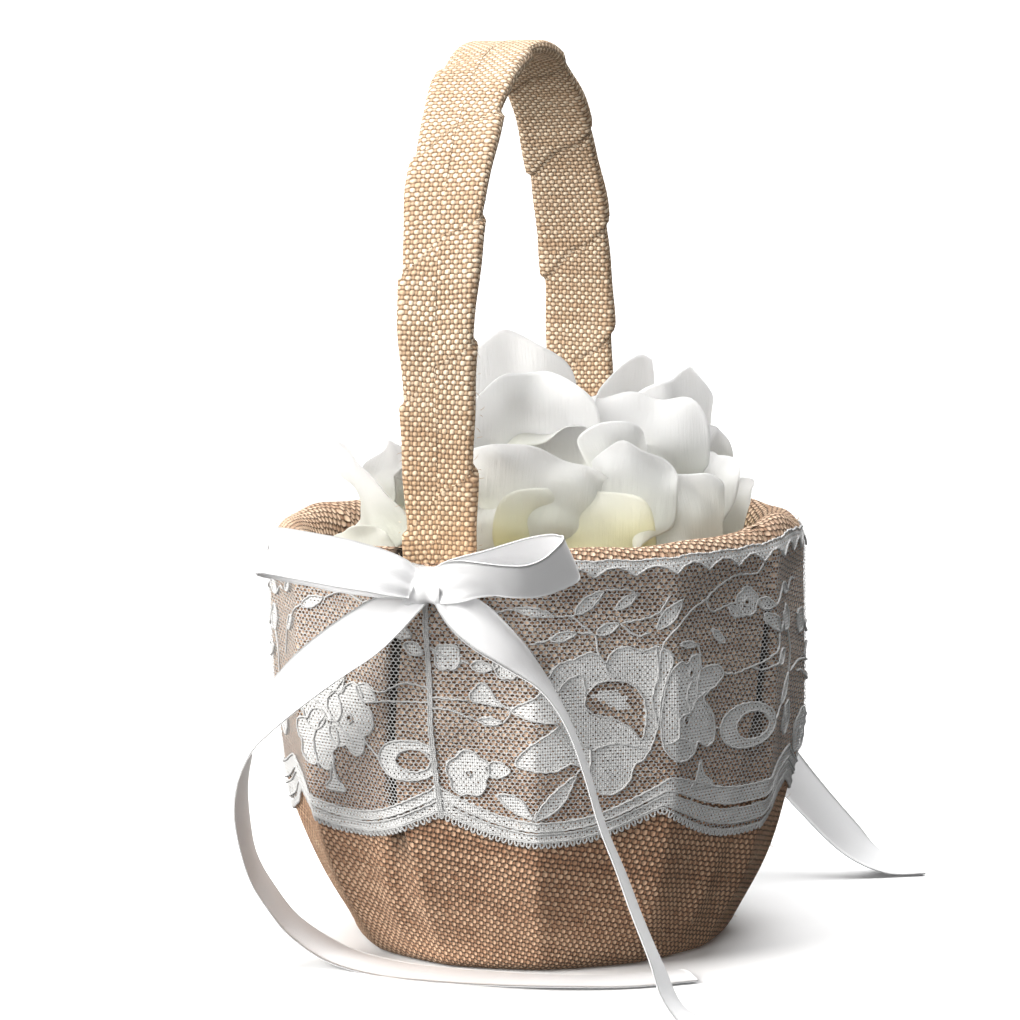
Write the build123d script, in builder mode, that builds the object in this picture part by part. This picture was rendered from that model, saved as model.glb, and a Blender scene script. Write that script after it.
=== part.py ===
from build123d import *
import os
from math import cos, pi, radians, sin, sqrt

# Flower girl basket.  Millimetres, +Z up, origin at the centre of the flat base, on the floor.
# The handle arches over the bowl in the YZ plane, and a bow is tied at the foot of each handle leg.

# ---------------------------------------------------------------- driving dimensions
bowl_radius = 65.0        # widest outer radius of the burlap cover
foot_radius = 44.5        # radius that the bowl's curve would reach at the floor
base_radius = 41.0        # flat part of the underside
shoulder_height = 76.0    # above this height the wall is upright
belly_power = 2.6         # how sharply the wall curves in below the shoulder
rim_height = 101.0        # top of the rolled burlap rim
total_height = 217.7      # top of the handle

cloth = 0.8               # thickness of the burlap
fold_height = 4.0         # height where the cover starts to turn under the base
rim_start = 94.0          # height where the cover starts to roll over the rim
rim_crest_radius = 60.2   # radius of the rim's highest line
lip_radius = 54.6         # inner radius of the turned-in rim
lip_bottom = 87.0         # lower edge of the turned-in rim
lip_top = 95.4            # the turned-in rim is upright below this
rim_outer_bulge = (63.7, 98.7)    # the rolled rim passes through these two points
rim_inner_bulge = (56.3, 99.3)
base_turn_out = 3.9       # how far the cloth bulges out where it turns under the base
base_turn_height = 1.35

facet_count = 12          # flat sides of the bowl inside
first_corner = 15.0       # direction of the first corner between two sides
stake_width = 4.0         # a stake stands at each corner, apart from the pleated ones
pleat_every = 3           # every third corner has a pleat in the cover instead of a stake
core_inset = 3.6          # from the cover's outside to the corner of the bowl
core_wall = 1.6
core_top = 95.2
core_heights = (0.9, 6, 12, 20, 30, 44, 60, 76, core_top)

strip_width = 15.0        # handle strip inside its burlap
strip_inner = 60.0        # inner face of the strip's leg, from the middle of the basket
strip_thickness = 2.4
strip_bottom = 68.0
handle_offset = -5.0      # the handle stands a little to the left of the middle
leg_top = 140.0           # the arch starts here
wrap_width = 17.4
wrap_inner = 59.15
wrap_outer = 63.25
wrap_bottom = 95.5

tack_places = [(handle_offset, 0, 74), (handle_offset, 0, 82)]
tack_radius = 1.0
tack_hole_radius = 1.05
tack_head_radius = 2.2
tack_head_thickness = 0.5
tack_length = 4.7         # from the strip's face to the bowl's inside

lace_inner_gap = 0.05
lace_thickness = 0.6
lace_bottom = 31.0
lace_top = 97.5

ribbon_width = 12.0
tail_diameter = 2.4       # plain round stand-in for a hanging ribbon tail
knot_size = (9.0, 6.0, 9.0)
knot_distance = 69.0      # middle of a knot, from the middle of the basket
knot_height = 94.2
knot_rounding = 2.0

petal_thickness = 0.8
heap_centre = 94.0        # height of the centre that the petals lie around
petal_half_angle = 19.0   # half the angle that one petal covers
petal_layer_pitch = 1.6
heap_radius = 52.8

os.makedirs("parts", exist_ok=True)


# ---------------------------------------------------------------- shape of the bowl
def wall_radius(height):
    """Outer radius of the burlap cover between its lower fold and its rim."""
    rise = max(0.0, 1 - height / shoulder_height)
    return bowl_radius - (bowl_radius - foot_radius) * rise**belly_power


def inset_radius(height, depth):
    """Radius of a surface that lies depth inside the cover's outer surface."""
    step = 0.5
    slope = (wall_radius(height + step) - wall_radius(height - step)) / (2 * step)
    return wall_radius(height) - depth * sqrt(1 + slope**2)


def ring_plane(angle):
    """Upright plane through the axis: x points outwards, y points up."""
    a = radians(angle)
    return Plane(origin=(0, 0, 0), x_dir=(cos(a), sin(a), 0), z_dir=(sin(a), -cos(a), 0))


corner_angles = [first_corner + i * 360 / facet_count for i in range(facet_count)]
stake_angles = [angle for i, angle in enumerate(corner_angles) if i % pleat_every != pleat_every - 1]
corner_turn = cos(pi / facet_count)   # flat-to-corner ratio of the many-sided bowl

# ---------------------------------------------------------------- moulded bowl inside
with BuildPart() as core_shell:
    for height in core_heights:
        with BuildSketch(Plane.XY.offset(height)):
            RegularPolygon(inset_radius(height, core_inset), facet_count, rotation=first_corner)
    loft(ruled=True)
    core_floor = core_heights[0] + core_wall
    for height in (core_floor,) + core_heights[1:]:
        with BuildSketch(Plane.XY.offset(height)):
            RegularPolygon(inset_radius(height, core_inset) - core_wall / corner_turn,
                           facet_count, rotation=first_corner)
    loft(ruled=True, mode=Mode.SUBTRACT)
    # two holes on each handle side, for the tacks
    with Locations(*tack_places):
        Cylinder(tack_hole_radius, 3 * bowl_radius, rotation=(90, 0, 0), mode=Mode.SUBTRACT)
core_shell.part.label = "core_shell"
export_step(core_shell.part, "parts/core_shell.step")

# ---------------------------------------------------------------- card disc on the bowl's floor
board_bottom = core_floor + 0.05
board_thickness = 1.6
board_radius = 36.0
with BuildPart() as base_board:
    with BuildSketch(Plane.XY.offset(board_bottom)):
        Circle(board_radius)
    extrude(amount=board_thickness)
    chamfer(base_board.edges().filter_by(GeomType.CIRCLE), length=0.3)
base_board.part.label = "base_board"
export_step(base_board.part, "parts/base_board.step")

# ---------------------------------------------------------------- eight upright stakes
stake_heights = (6, 12, 20, 30, 44, 60, 76, 92)
stake_inner = [(inset_radius(h, core_inset - 0.1), h) for h in stake_heights]
stake_outer = [(inset_radius(h, cloth + 0.15), h) for h in reversed(stake_heights)]
with BuildPart() as ridge_stakes:
    for angle in stake_angles:
        with BuildSketch(ring_plane(angle)):
            with BuildLine():
                Polyline(*stake_inner, *stake_outer, close=True)
            make_face()
        extrude(amount=stake_width / 2, both=True)
ridge_stakes.part.label = "ridge_stakes"
export_step(ridge_stakes.part, "parts/ridge_stakes.step")

# ---------------------------------------------------------------- hoop that stiffens the rim
hoop_radius = 57.4
hoop_wire_radius = 1.3
with BuildPart() as rim_hoop:
    with BuildSketch(Plane.XZ):
        with Locations((hoop_radius, core_top + hoop_wire_radius + 0.2)):
            Circle(hoop_wire_radius)
    revolve(axis=Axis.Z)
rim_hoop.part.label = "rim_hoop"
export_step(rim_hoop.part, "parts/rim_hoop.step")

# ---------------------------------------------------------------- burlap lining inside the bowl
lining_thickness = 0.7
lining_gap = 0.1
lining_floor = board_bottom + board_thickness + 0.05
lining_top = 94.0
lining_heights = (6, 12, 20, 30, 44, 60, 76, lining_top)


def lining_radius(height, depth):
    """Corner radius of the lining, depth inside the bowl's inner surface."""
    return inset_radius(height, core_inset) - (core_wall + lining_gap + depth) / corner_turn


with BuildPart() as lining:
    for height in lining_heights:
        with BuildSketch(Plane.XY.offset(lining_floor if height == 6 else height)):
            RegularPolygon(lining_radius(height, 0 if height > 6 else 2.0), facet_count,
                           rotation=first_corner)
    loft(ruled=True)
    for height in lining_heights:
        with BuildSketch(Plane.XY.offset(lining_floor + lining_thickness if height == 6 else height)):
            RegularPolygon(lining_radius(height, lining_thickness if height > 6 else 2.7), facet_count,
                           rotation=first_corner)
    loft(ruled=True, mode=Mode.SUBTRACT)
lining.part.label = "lining"
export_step(lining.part, "parts/lining.step")

# ---------------------------------------------------------------- burlap cover, base to rolled rim
wall_heights = (fold_height, 10, 18, 30, 44, 60, shoulder_height)
patch_gap_radius = 34.8   # the cloth is turned under the base as far in as this
leg_slot_clearance = 0.4  # round a wrapped leg, where it goes down through the rim


def inside_of(bulge, side):
    """The inner surface's point behind a bulge of the rim; side is -1 outside and 1 inside the crest."""
    return (bulge[0] + side * cloth * 0.75, bulge[1] - cloth * 0.6)


with BuildPart() as burlap_cover:
    with BuildSketch(Plane.XZ):
        with BuildLine():
            Polyline((patch_gap_radius, 0), (base_radius, 0))
            ThreePointArc((base_radius, 0), (base_radius + base_turn_out, base_turn_height),
                          (wall_radius(fold_height), fold_height))
            Spline(*[(wall_radius(h), h) for h in wall_heights], tangents=[(0.62, 1), (0, 1)])
            Line((bowl_radius, shoulder_height), (bowl_radius, rim_start))
            ThreePointArc((bowl_radius, rim_start), rim_outer_bulge, (rim_crest_radius, rim_height))
            ThreePointArc((rim_crest_radius, rim_height), rim_inner_bulge, (lip_radius, lip_top))
            Polyline((lip_radius, lip_top), (lip_radius, lip_bottom),
                     (lip_radius + cloth, lip_bottom), (lip_radius + cloth, lip_top))
            ThreePointArc((lip_radius + cloth, lip_top), inside_of(rim_inner_bulge, 1),
                          (rim_crest_radius, rim_height - cloth))
            ThreePointArc((rim_crest_radius, rim_height - cloth), inside_of(rim_outer_bulge, -1),
                          (bowl_radius - cloth, rim_start))
            Line((bowl_radius - cloth, rim_start), (bowl_radius - cloth, shoulder_height))
            Spline(*[(inset_radius(h, cloth), h) for h in reversed(wall_heights)],
                   tangents=[(0, -1), (-0.62, -1)])
            ThreePointArc((inset_radius(fold_height, cloth), fold_height),
                          (base_radius + base_turn_out - cloth, base_turn_height + 0.65),
                          (base_radius, cloth))
            Polyline((base_radius, cloth), (patch_gap_radius, cloth), (patch_gap_radius, 0))
        make_face()
    revolve(axis=Axis.Z)
    # a slot on each side, where a wrapped handle leg goes down through the rim
    with BuildSketch(Plane.XY.offset(wrap_bottom - 0.2)):
        for side in (-1, 1):
            with Locations((handle_offset, side * (wrap_inner - 0.3 + 5))):
                Rectangle(wrap_width + 2 * leg_slot_clearance, 10)
    extrude(amount=rim_height, mode=Mode.SUBTRACT)
burlap_cover.part.label = "burlap_cover"
export_step(burlap_cover.part, "parts/burlap_cover.step")

# ---------------------------------------------------------------- round patch under the base
with BuildPart() as base_patch:
    with BuildSketch():
        Circle(patch_gap_radius - 0.3)
    extrude(amount=cloth)
base_patch.part.label = "base_patch"
export_step(base_patch.part, "parts/base_patch.step")

# ---------------------------------------------------------------- bent strip inside the handle
arch_rise = total_height - leg_top - wrap_outer   # how much taller than wide the arch is
strip_outer = strip_inner + strip_thickness


def arch_outline(outer, inner, bottom):
    """Outline of a strip that goes up one side, over the half-ellipse arch and down the other."""
    EllipticalCenterArc((0, leg_top), outer, outer + arch_rise, start_angle=0, arc_size=180)
    Polyline((-outer, leg_top), (-outer, bottom), (-inner, bottom), (-inner, leg_top))
    EllipticalCenterArc((0, leg_top), inner, inner + arch_rise, start_angle=0, arc_size=180)
    Polyline((inner, leg_top), (inner, bottom), (outer, bottom), (outer, leg_top))


with BuildPart() as handle_core:
    with BuildSketch(Plane.YZ.offset(handle_offset)):
        with BuildLine():
            arch_outline(strip_outer, strip_inner, strip_bottom)
        make_face()
    extrude(amount=strip_width / 2, both=True)
    with Locations(*tack_places):
        Cylinder(tack_hole_radius, 3 * bowl_radius, rotation=(90, 0, 0), mode=Mode.SUBTRACT)
handle_core.part.label = "handle_core"
export_step(handle_core.part, "parts/handle_core.step")

# ---------------------------------------------------------------- burlap wound round the handle
strip_space = 0.05
with BuildPart() as handle_wrap:
    with BuildSketch(Plane.YZ.offset(handle_offset)):
        with BuildLine():
            arch_outline(wrap_outer, wrap_inner, wrap_bottom)
        make_face()
    extrude(amount=wrap_width / 2, both=True)
    with BuildSketch(Plane.YZ.offset(handle_offset)):
        with BuildLine():
            arch_outline(strip_outer + strip_space, strip_inner - strip_space, wrap_bottom)
        make_face()
    extrude(amount=strip_width / 2 + strip_space, both=True, mode=Mode.SUBTRACT)
handle_wrap.part.label = "handle_wrap"
export_step(handle_wrap.part, "parts/handle_wrap.step")

# ---------------------------------------------------------------- tacks through strip and bowl
with BuildPart() as handle_tacks:
    for side in (-1, 1):
        with Locations(*[Location((x, side * strip_outer, z), (side * 90, 0, 0)) for x, _, z in tack_places]):
            Cylinder(tack_head_radius, tack_head_thickness, align=(Align.CENTER, Align.CENTER, Align.MAX))
            Cylinder(tack_radius, tack_length, align=(Align.CENTER, Align.CENTER, Align.MIN))
handle_tacks.part.label = "handle_tacks"
export_step(handle_tacks.part, "parts/handle_tacks.step")

# ---------------------------------------------------------------- lace band round the bowl
lace_heights = (lace_bottom, 38, 48, 60, shoulder_height)
with BuildPart() as lace_band:
    with BuildSketch(Plane.XZ):
        with BuildLine():
            lace_inner = bowl_radius + lace_inner_gap
            lace_outer = lace_inner + lace_thickness
            Spline(*[(inset_radius(h, -lace_inner_gap), h) for h in lace_heights])
            Polyline((lace_inner, shoulder_height), (lace_inner, lace_top),
                     (lace_outer, lace_top), (lace_outer, shoulder_height))
            Spline(*[(inset_radius(h, -lace_inner_gap - lace_thickness), h)
                     for h in reversed(lace_heights)])
            Line((inset_radius(lace_bottom, -lace_inner_gap - lace_thickness), lace_bottom),
                 (inset_radius(lace_bottom, -lace_inner_gap), lace_bottom))
        make_face()
    revolve(axis=Axis.Z)
lace_band.part.label = "lace_band"
export_step(lace_band.part, "parts/lace_band.step")


# ---------------------------------------------------------------- satin bows
def side_point(x, y, z, side):
    """A point given for the front bow, mirrored to the back bow where side is -1."""
    return (x, y * side, z)


def tail_radii(route):
    """Bend radius at each inner point: 0.45 of the shorter run, over the tangent of half the turn."""
    radii = []
    for before, here, after in zip(route, route[1:], route[2:]):
        run_in = Vector(*here) - Vector(*before)
        run_out = Vector(*after) - Vector(*here)
        half_turn = radians(run_in.get_angle(run_out)) / 2
        shorter = min(run_in.length, run_out.length)
        radii.append(0.45 * shorter * cos(half_turn) / sin(half_turn))
    return radii


# Each tail's route, from below the knot to its cut end.
front_left_route = [
    (-9.6, -71.2, 88.2), (-17.5, -73.4, 83.2), (-27, -74.6, 77.6), (-36.3, -73.6, 70.6),
    (-44, -71, 63.2), (-49.6, -67.4, 55.6), (-53.2, -63.4, 48.2), (-55.4, -59.4, 40.8),
    (-56, -55, 33), (-54.4, -50.8, 24.6), (-50.4, -47, 16), (-44.6, -43.6, 8.6),
    (-36, -42.6, 3.4), (-25, -45.6, 1.5), (-11, -50.8, 1.3), (4, -53.6, 1.4),
    (19, -53.8, 1.3), (33.5, -49.6, 1.4), (47.6, -41.2, 1.3)]
front_right_route = [
    (0.4, -71.2, 88.6), (8.6, -72.4, 83.8), (16.6, -72.2, 77.6), (23.6, -72.2, 70.4),
    (28.2, -72.6, 61.6), (32.2, -73.4, 52.6), (36, -74.6, 42.6), (40.6, -76, 31.8),
    (45.4, -78.4, 21.2), (49.8, -81.2, 11), (54.6, -84.2, 4), (61.4, -87, 1.4), (70.4, -88.6, 1.3)]
back_right_route = [
    (0.4, 71.2, 88.6), (9.4, 72.6, 79.8), (18, 74, 68.4), (26.6, 74.6, 56.4),
    (35, 75.6, 43.4), (43.4, 76.4, 31), (52, 77.8, 20.4), (61, 80.4, 10.2),
    (69, 83.8, 3.4), (78, 88.4, 1.4)]
back_left_route = [
    (-9.6, 71.2, 88.2), (-15.4, 74.2, 80), (-19.8, 76, 69.6), (-22.2, 77.4, 57.8),
    (-22.6, 78.2, 45.4), (-20.8, 79, 33.2), (-17.4, 80.2, 21.6), (-12.8, 82.8, 11.2),
    (-7, 87.4, 3.8), (1, 93, 1.4), (11.4, 97.4, 1.3)]
tail_routes = {"front_tail_left": front_left_route, "front_tail_right": front_right_route,
               "back_tail_right": back_right_route, "back_tail_left": back_left_route}

for tail_name, route in tail_routes.items():
    with BuildPart() as tail:
        with BuildLine():
            FilletPolyline(*route, radius=tail_radii(route))
        start_plane = Plane(origin=route[0], z_dir=Vector(*route[1]) - Vector(*route[0]))
        with BuildSketch(start_plane):
            Circle(tail_diameter / 2)
        sweep()
    tail.part.label = tail_name
    export_step(tail.part, f"parts/{tail_name}.step")

# A loop is a flattened ring of ribbon: its middle, its lean outwards, its rise away from the knot,
# its length and its depth.
loop_thickness = 0.6
bow_loops = {
    "loop_left": ((-24.6, -75.6, 98.8), -30, 12, 32.0, 7.0),
    "loop_right": ((15.2, -73.8, 98.0), 40, -6, 28.0, 9.0),
}
for side_name, side in (("front", 1), ("back", -1)):
    with BuildPart() as knot:
        with Locations(side_point(handle_offset, -knot_distance, knot_height, side)):
            Box(*knot_size)
        fillet(knot.edges(), radius=knot_rounding)
    knot.part.label = f"{side_name}_bow_knot"
    export_step(knot.part, f"parts/{side_name}_bow_knot.step")
    for loop_name, (middle, lean, rise, length, depth) in bow_loops.items():
        loop_plane = Plane(Location(side_point(*middle, side), (lean * side, rise, 0)))
        with BuildPart() as bow_loop:
            with BuildSketch(loop_plane.offset(-ribbon_width / 2)):
                SlotOverall(length, depth)
                SlotOverall(length - 2 * loop_thickness, depth - 2 * loop_thickness, mode=Mode.SUBTRACT)
            extrude(amount=ribbon_width)
        bow_loop.part.label = f"{side_name}_bow_{loop_name}"
        export_step(bow_loop.part, f"parts/{side_name}_bow_{loop_name}.step")

# ---------------------------------------------------------------- silk petals heaped in the bowl
# rings of petals: (tilt from upright, petals in the ring, layer, turn of the ring)
petal_rings = ((0, 1, 0, 0), (34, 5, 1, 20), (60, 8, 2, 5), (24, 3, 3, 50), (54, 5, 4, 30))
petal_number = 0
for tilt, count, layer, ring_turn in petal_rings:
    outer_radius = heap_radius - layer * petal_layer_pitch
    inner_radius = outer_radius - petal_thickness
    half = radians(petal_half_angle)
    for i in range(count):
        petal_number += 1
        turn = radians(ring_turn + i * 360 / count)
        t = radians(tilt)
        outwards = Vector(sin(t) * cos(turn), sin(t) * sin(turn), cos(t))
        across = Vector(cos(t) * cos(turn), cos(t) * sin(turn), -sin(t))
        petal_plane = Plane(origin=(0, 0, heap_centre), x_dir=across, z_dir=across.cross(outwards))
        with BuildPart() as petal:
            with BuildSketch(petal_plane):
                with BuildLine():
                    Line((0, inner_radius), (0, outer_radius))
                    ThreePointArc((0, outer_radius),
                                  (outer_radius * sin(half / 2), outer_radius * cos(half / 2)),
                                  (outer_radius * sin(half), outer_radius * cos(half)))
                    Line((outer_radius * sin(half), outer_radius * cos(half)),
                         (inner_radius * sin(half), inner_radius * cos(half)))
                    ThreePointArc((inner_radius * sin(half), inner_radius * cos(half)),
                                  (inner_radius * sin(half / 2), inner_radius * cos(half / 2)),
                                  (0, inner_radius))
                make_face()
            revolve(axis=Axis((0, 0, heap_centre), outwards))
        petal.part.label = f"petal_{petal_number:02d}"
        export_step(petal.part, f"parts/petal_{petal_number:02d}.step")
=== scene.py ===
from math import atan2, cos, degrees, hypot, pi, radians, sin, sqrt, tan

import bpy
import numpy as np
from mathutils import Matrix, Vector


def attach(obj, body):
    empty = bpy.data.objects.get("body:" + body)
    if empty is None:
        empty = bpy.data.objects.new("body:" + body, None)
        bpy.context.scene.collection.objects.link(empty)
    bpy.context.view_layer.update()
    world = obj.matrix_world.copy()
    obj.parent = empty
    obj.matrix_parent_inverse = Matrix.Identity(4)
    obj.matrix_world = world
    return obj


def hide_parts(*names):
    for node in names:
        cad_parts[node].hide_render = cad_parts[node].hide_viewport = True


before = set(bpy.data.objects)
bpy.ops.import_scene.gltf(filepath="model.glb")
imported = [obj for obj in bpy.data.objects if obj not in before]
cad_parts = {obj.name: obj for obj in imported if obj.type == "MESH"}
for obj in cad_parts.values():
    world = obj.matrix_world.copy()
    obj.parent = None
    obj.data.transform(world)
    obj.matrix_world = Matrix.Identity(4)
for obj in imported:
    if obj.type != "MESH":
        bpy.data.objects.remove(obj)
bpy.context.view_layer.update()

# Flower girl basket: burlap over a ridged bowl, lace band, wrapped handle, satin bows, silk petals.
# All shapes below are worked out in millimetres and written in metres.
MM = 0.001
rng = np.random.default_rng(7)

# ---------------------------------------------------------------- sizes, as in the CAD part
BOWL_RADIUS = 65.0
FOOT_RADIUS = 44.5
BASE_RADIUS = 41.0
SHOULDER = 76.0
BELLY_POWER = 2.6
RIM_START = 94.0
RIM_HEIGHT = 101.0
RIM_CREST = 60.2
LIP_RADIUS = 54.6
LIP_BOTTOM = 87.0
FOLD_HEIGHT = 4.0
PATCH_RADIUS = 34.5
STAKES = 12
HANDLE_X = -5.0
LEG_TOP = 140.0
STRIP_MIDDLE = 61.2          # leg's middle plane, from the middle of the basket
ARCH_RISE = 14.45            # how much taller than wide the arch is
RIBBON_WIDTH = 12.0
HEAP_CENTRE = 94.0


# ---------------------------------------------------------------- mesh helpers
def new_mesh(name, points, faces, material, smooth=True, uv=None, painted_shade_uv=None):
    """A mesh object from points in millimetres; uv is one pair for each face corner."""
    mesh = bpy.data.meshes.new(name)
    points = np.asarray(points, float).reshape(-1, 3)
    faces = [np.asarray(f, np.int32) for f in faces] if isinstance(faces, list) else [np.asarray(faces, np.int32)]
    sizes = np.concatenate([np.full(len(f), f.shape[1], np.int32) for f in faces])
    corners = np.concatenate([f.ravel() for f in faces])
    mesh.vertices.add(len(points))
    mesh.vertices.foreach_set("co", (points * MM).ravel())
    mesh.loops.add(len(corners))
    mesh.loops.foreach_set("vertex_index", corners)
    mesh.polygons.add(len(sizes))
    mesh.polygons.foreach_set("loop_start", np.concatenate([[0], np.cumsum(sizes)[:-1]]).astype(np.int32))
    mesh.update(calc_edges=True)
    mesh.polygons.foreach_set("use_smooth", np.full(len(sizes), smooth))
    if uv is not None:
        layer = mesh.uv_layers.new(name="weave")
        layer.data.foreach_set("uv", np.asarray(uv, np.float32).ravel())
    # the second uv map carries painted shade to the burlap material
    if painted_shade_uv is not None:
        layer = mesh.uv_layers.new(name="painted_shade_uv")
        layer.data.foreach_set("uv", np.asarray(painted_shade_uv, np.float32).ravel())
    mesh.update()
    mesh.validate()
    mesh.materials.append(material)
    piece = bpy.data.objects.new(name, mesh)
    bpy.context.scene.collection.objects.link(piece)
    return piece


def place(piece, body, slot, *nodes):
    """The piece rides on a body and stands for CAD nodes; slot is not used."""
    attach(piece, body)
    if nodes:
        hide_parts(*nodes)
    return piece


def grid_faces(rows, columns, close_rows=False, close_columns=False):
    """Quads of a grid, and each corner's row and column, counted on past a closed edge."""
    i, j = np.meshgrid(np.arange(rows if close_rows else rows - 1),
                       np.arange(columns if close_columns else columns - 1), indexing="ij")
    i, j = i.ravel(), j.ravel()
    corner_i = np.stack([i, i + 1, i + 1, i], 1)
    corner_j = np.stack([j, j, j + 1, j + 1], 1)
    return (corner_i % rows) * columns + corner_j % columns, corner_i, corner_j


def grid_normals(points):
    """Unit normals of a grid of points, shape (rows, columns, 3)."""
    down = np.gradient(points, axis=0)
    across = np.gradient(points, axis=1)
    normals = np.cross(down, across)
    length = np.linalg.norm(normals, axis=2, keepdims=True)
    return normals / np.maximum(length, 1e-9)


def thick_sheet(points, thickness):
    """A closed thin sheet round a grid of middle points: vertices and faces."""
    rows, columns, _ = points.shape
    normals = grid_normals(points)
    top = points + normals * thickness / 2
    under = points - normals * thickness / 2
    faces, ci, cj = grid_faces(rows, columns)
    count = rows * columns
    edge = [(0, j) for j in range(columns)]
    edge += [(i, columns - 1) for i in range(1, rows)]
    edge += [(rows - 1, j) for j in range(columns - 2, -1, -1)]
    edge += [(i, 0) for i in range(rows - 2, 0, -1)]
    ring = np.array([i * columns + j for i, j in edge])
    after = np.roll(ring, -1)
    sides = np.stack([ring, ring + count, after + count, after], 1)
    all_faces = np.concatenate([faces, faces[:, ::-1] + count, sides])
    return np.concatenate([top.reshape(-1, 3), under.reshape(-1, 3)]), all_faces


def grid_uv(faces, rows, columns, length, width):
    """Even uv over a thick sheet: u across the width, v along the length, in millimetres."""
    place_in_grid = faces % (rows * columns)
    v = place_in_grid // columns * (length / (rows - 1))
    u = place_in_grid % columns * (width / (columns - 1))
    return np.stack([u, v], -1).reshape(-1, 2)


def smooth_path(points, count):
    """count points, evenly spaced, on a smooth curve through the given points."""
    points = np.asarray(points, float)
    ends = np.concatenate([[2 * points[0] - points[1]], points, [2 * points[-1] - points[-2]]])
    fine = []
    for k in range(1, len(ends) - 2):
        t = np.linspace(0, 1, 24, endpoint=False)[:, None]
        a, b, c, d = ends[k - 1:k + 3]
        fine.append(0.5 * (2 * b + (c - a) * t + (2 * a - 5 * b + 4 * c - d) * t**2
                           + (3 * b - a - 3 * c + d) * t**3))
    fine = np.concatenate(fine + [ends[-2:-1]])
    run = np.concatenate([[0], np.cumsum(np.linalg.norm(np.diff(fine[:, :3], axis=0), axis=1))])
    at = np.linspace(0, run[-1], count)
    return np.stack([np.interp(at, run, fine[:, k]) for k in range(fine.shape[1])], 1)


def unit(vectors):
    return vectors / np.maximum(np.linalg.norm(vectors, axis=-1, keepdims=True), 1e-9)


def tubes(paths, radius, sides, outward):
    """Thin round cords along paths; outward(points) gives a steady cross direction."""
    points, faces = [], []
    start = 0
    angles = np.arange(sides) * 2 * pi / sides
    for path in paths:
        along = unit(np.gradient(path, axis=0))
        up = outward(path)
        side = unit(np.cross(along, up))
        up = np.cross(side, along)
        ring = (np.cos(angles)[None, :, None] * side[:, None, :] + np.sin(angles)[None, :, None] * up[:, None, :])
        taper = np.ones(len(path))
        taper[[0, -1]] = 0.35
        points.append((path[:, None, :] + ring * (radius * taper)[:, None, None]).reshape(-1, 3))
        quads, _, _ = grid_faces(len(path), sides, close_columns=True)
        faces.append(quads + start)
        start += len(path) * sides
    return np.concatenate(points), np.concatenate(faces)


# ---------------------------------------------------------------- node helper
class Graph:
    """A material's node tree, written as small expressions."""

    def __init__(self, name):
        self.material = bpy.data.materials.new(name)
        self.material.use_nodes = True
        self.tree = self.material.node_tree
        self.shader = next(n for n in self.tree.nodes if n.type == "BSDF_PRINCIPLED")
        self.output = next(n for n in self.tree.nodes if n.type == "OUTPUT_MATERIAL")

    def node(self, kind, **settings):
        made = self.tree.nodes.new(kind)
        for key, value in settings.items():
            setattr(made, key, value)
        return made

    def feed(self, socket, value):
        if isinstance(value, bpy.types.NodeSocket):
            self.tree.links.new(value, socket)
        else:
            socket.default_value = value

    def math(self, operation, *values, clamp=False):
        made = self.node("ShaderNodeMath", operation=operation, use_clamp=clamp)
        for socket, value in zip(made.inputs, values):
            self.feed(socket, value)
        return made.outputs[0]

    def mix(self, factor, first, second, blend="MIX"):
        made = self.node("ShaderNodeMix", data_type="RGBA", blend_type=blend)
        self.feed(made.inputs[0], factor)
        self.feed(made.inputs[6], first)
        self.feed(made.inputs[7], second)
        return made.outputs[2]

    def blend(self, factor, first, second):
        made = self.node("ShaderNodeMix", data_type="FLOAT")
        self.feed(made.inputs[0], factor)
        self.feed(made.inputs[2], first)
        self.feed(made.inputs[3], second)
        return made.outputs[0]

    def smooth(self, value, low, high):
        made = self.node("ShaderNodeMapRange", interpolation_type="SMOOTHSTEP")
        self.feed(made.inputs[0], value)
        made.inputs[1].default_value = low
        made.inputs[2].default_value = high
        return made.outputs[0]

    def noise(self, vector, scale, detail=2.0, roughness=0.5, dimensions="3D"):
        made = self.node("ShaderNodeTexNoise", noise_dimensions=dimensions)
        if dimensions == "1D":
            self.feed(made.inputs["W"], vector)
        else:
            self.feed(made.inputs["Vector"], vector)
        made.inputs["Scale"].default_value = scale
        made.inputs["Detail"].default_value = detail
        made.inputs["Roughness"].default_value = roughness
        return made.outputs["Fac"]

    def random(self, value):
        made = self.node("ShaderNodeTexWhiteNoise", noise_dimensions="1D")
        self.feed(made.inputs["W"], value)
        return made.outputs["Value"]

    def uv(self, name="weave"):
        parts = self.node("ShaderNodeSeparateXYZ")
        self.feed(parts.inputs[0], self.node("ShaderNodeUVMap", uv_map=name).outputs[0])
        return parts.outputs[0], parts.outputs[1]

    def vector(self, x, y, z=0.0):
        made = self.node("ShaderNodeCombineXYZ")
        for socket, value in zip(made.inputs, (x, y, z)):
            self.feed(socket, value)
        return made.outputs[0]

    def position(self):
        return self.node("ShaderNodeTexCoord").outputs["Object"]

    def height(self):
        parts = self.node("ShaderNodeSeparateXYZ")
        self.feed(parts.inputs[0], self.position())
        return parts.outputs[2]

    def bump(self, height, distance, strength=1.0, normal=None):
        made = self.node("ShaderNodeBump")
        self.feed(made.inputs["Height"], height)
        made.inputs["Distance"].default_value = distance
        made.inputs["Strength"].default_value = strength
        if normal is not None:
            self.feed(made.inputs["Normal"], normal)
        self.feed(self.shader.inputs["Normal"], made.outputs[0])
        return made.outputs[0]

    def set(self, **values):
        for key, value in values.items():
            self.feed(self.shader.inputs[key.replace("_", " ")], value)


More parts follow.
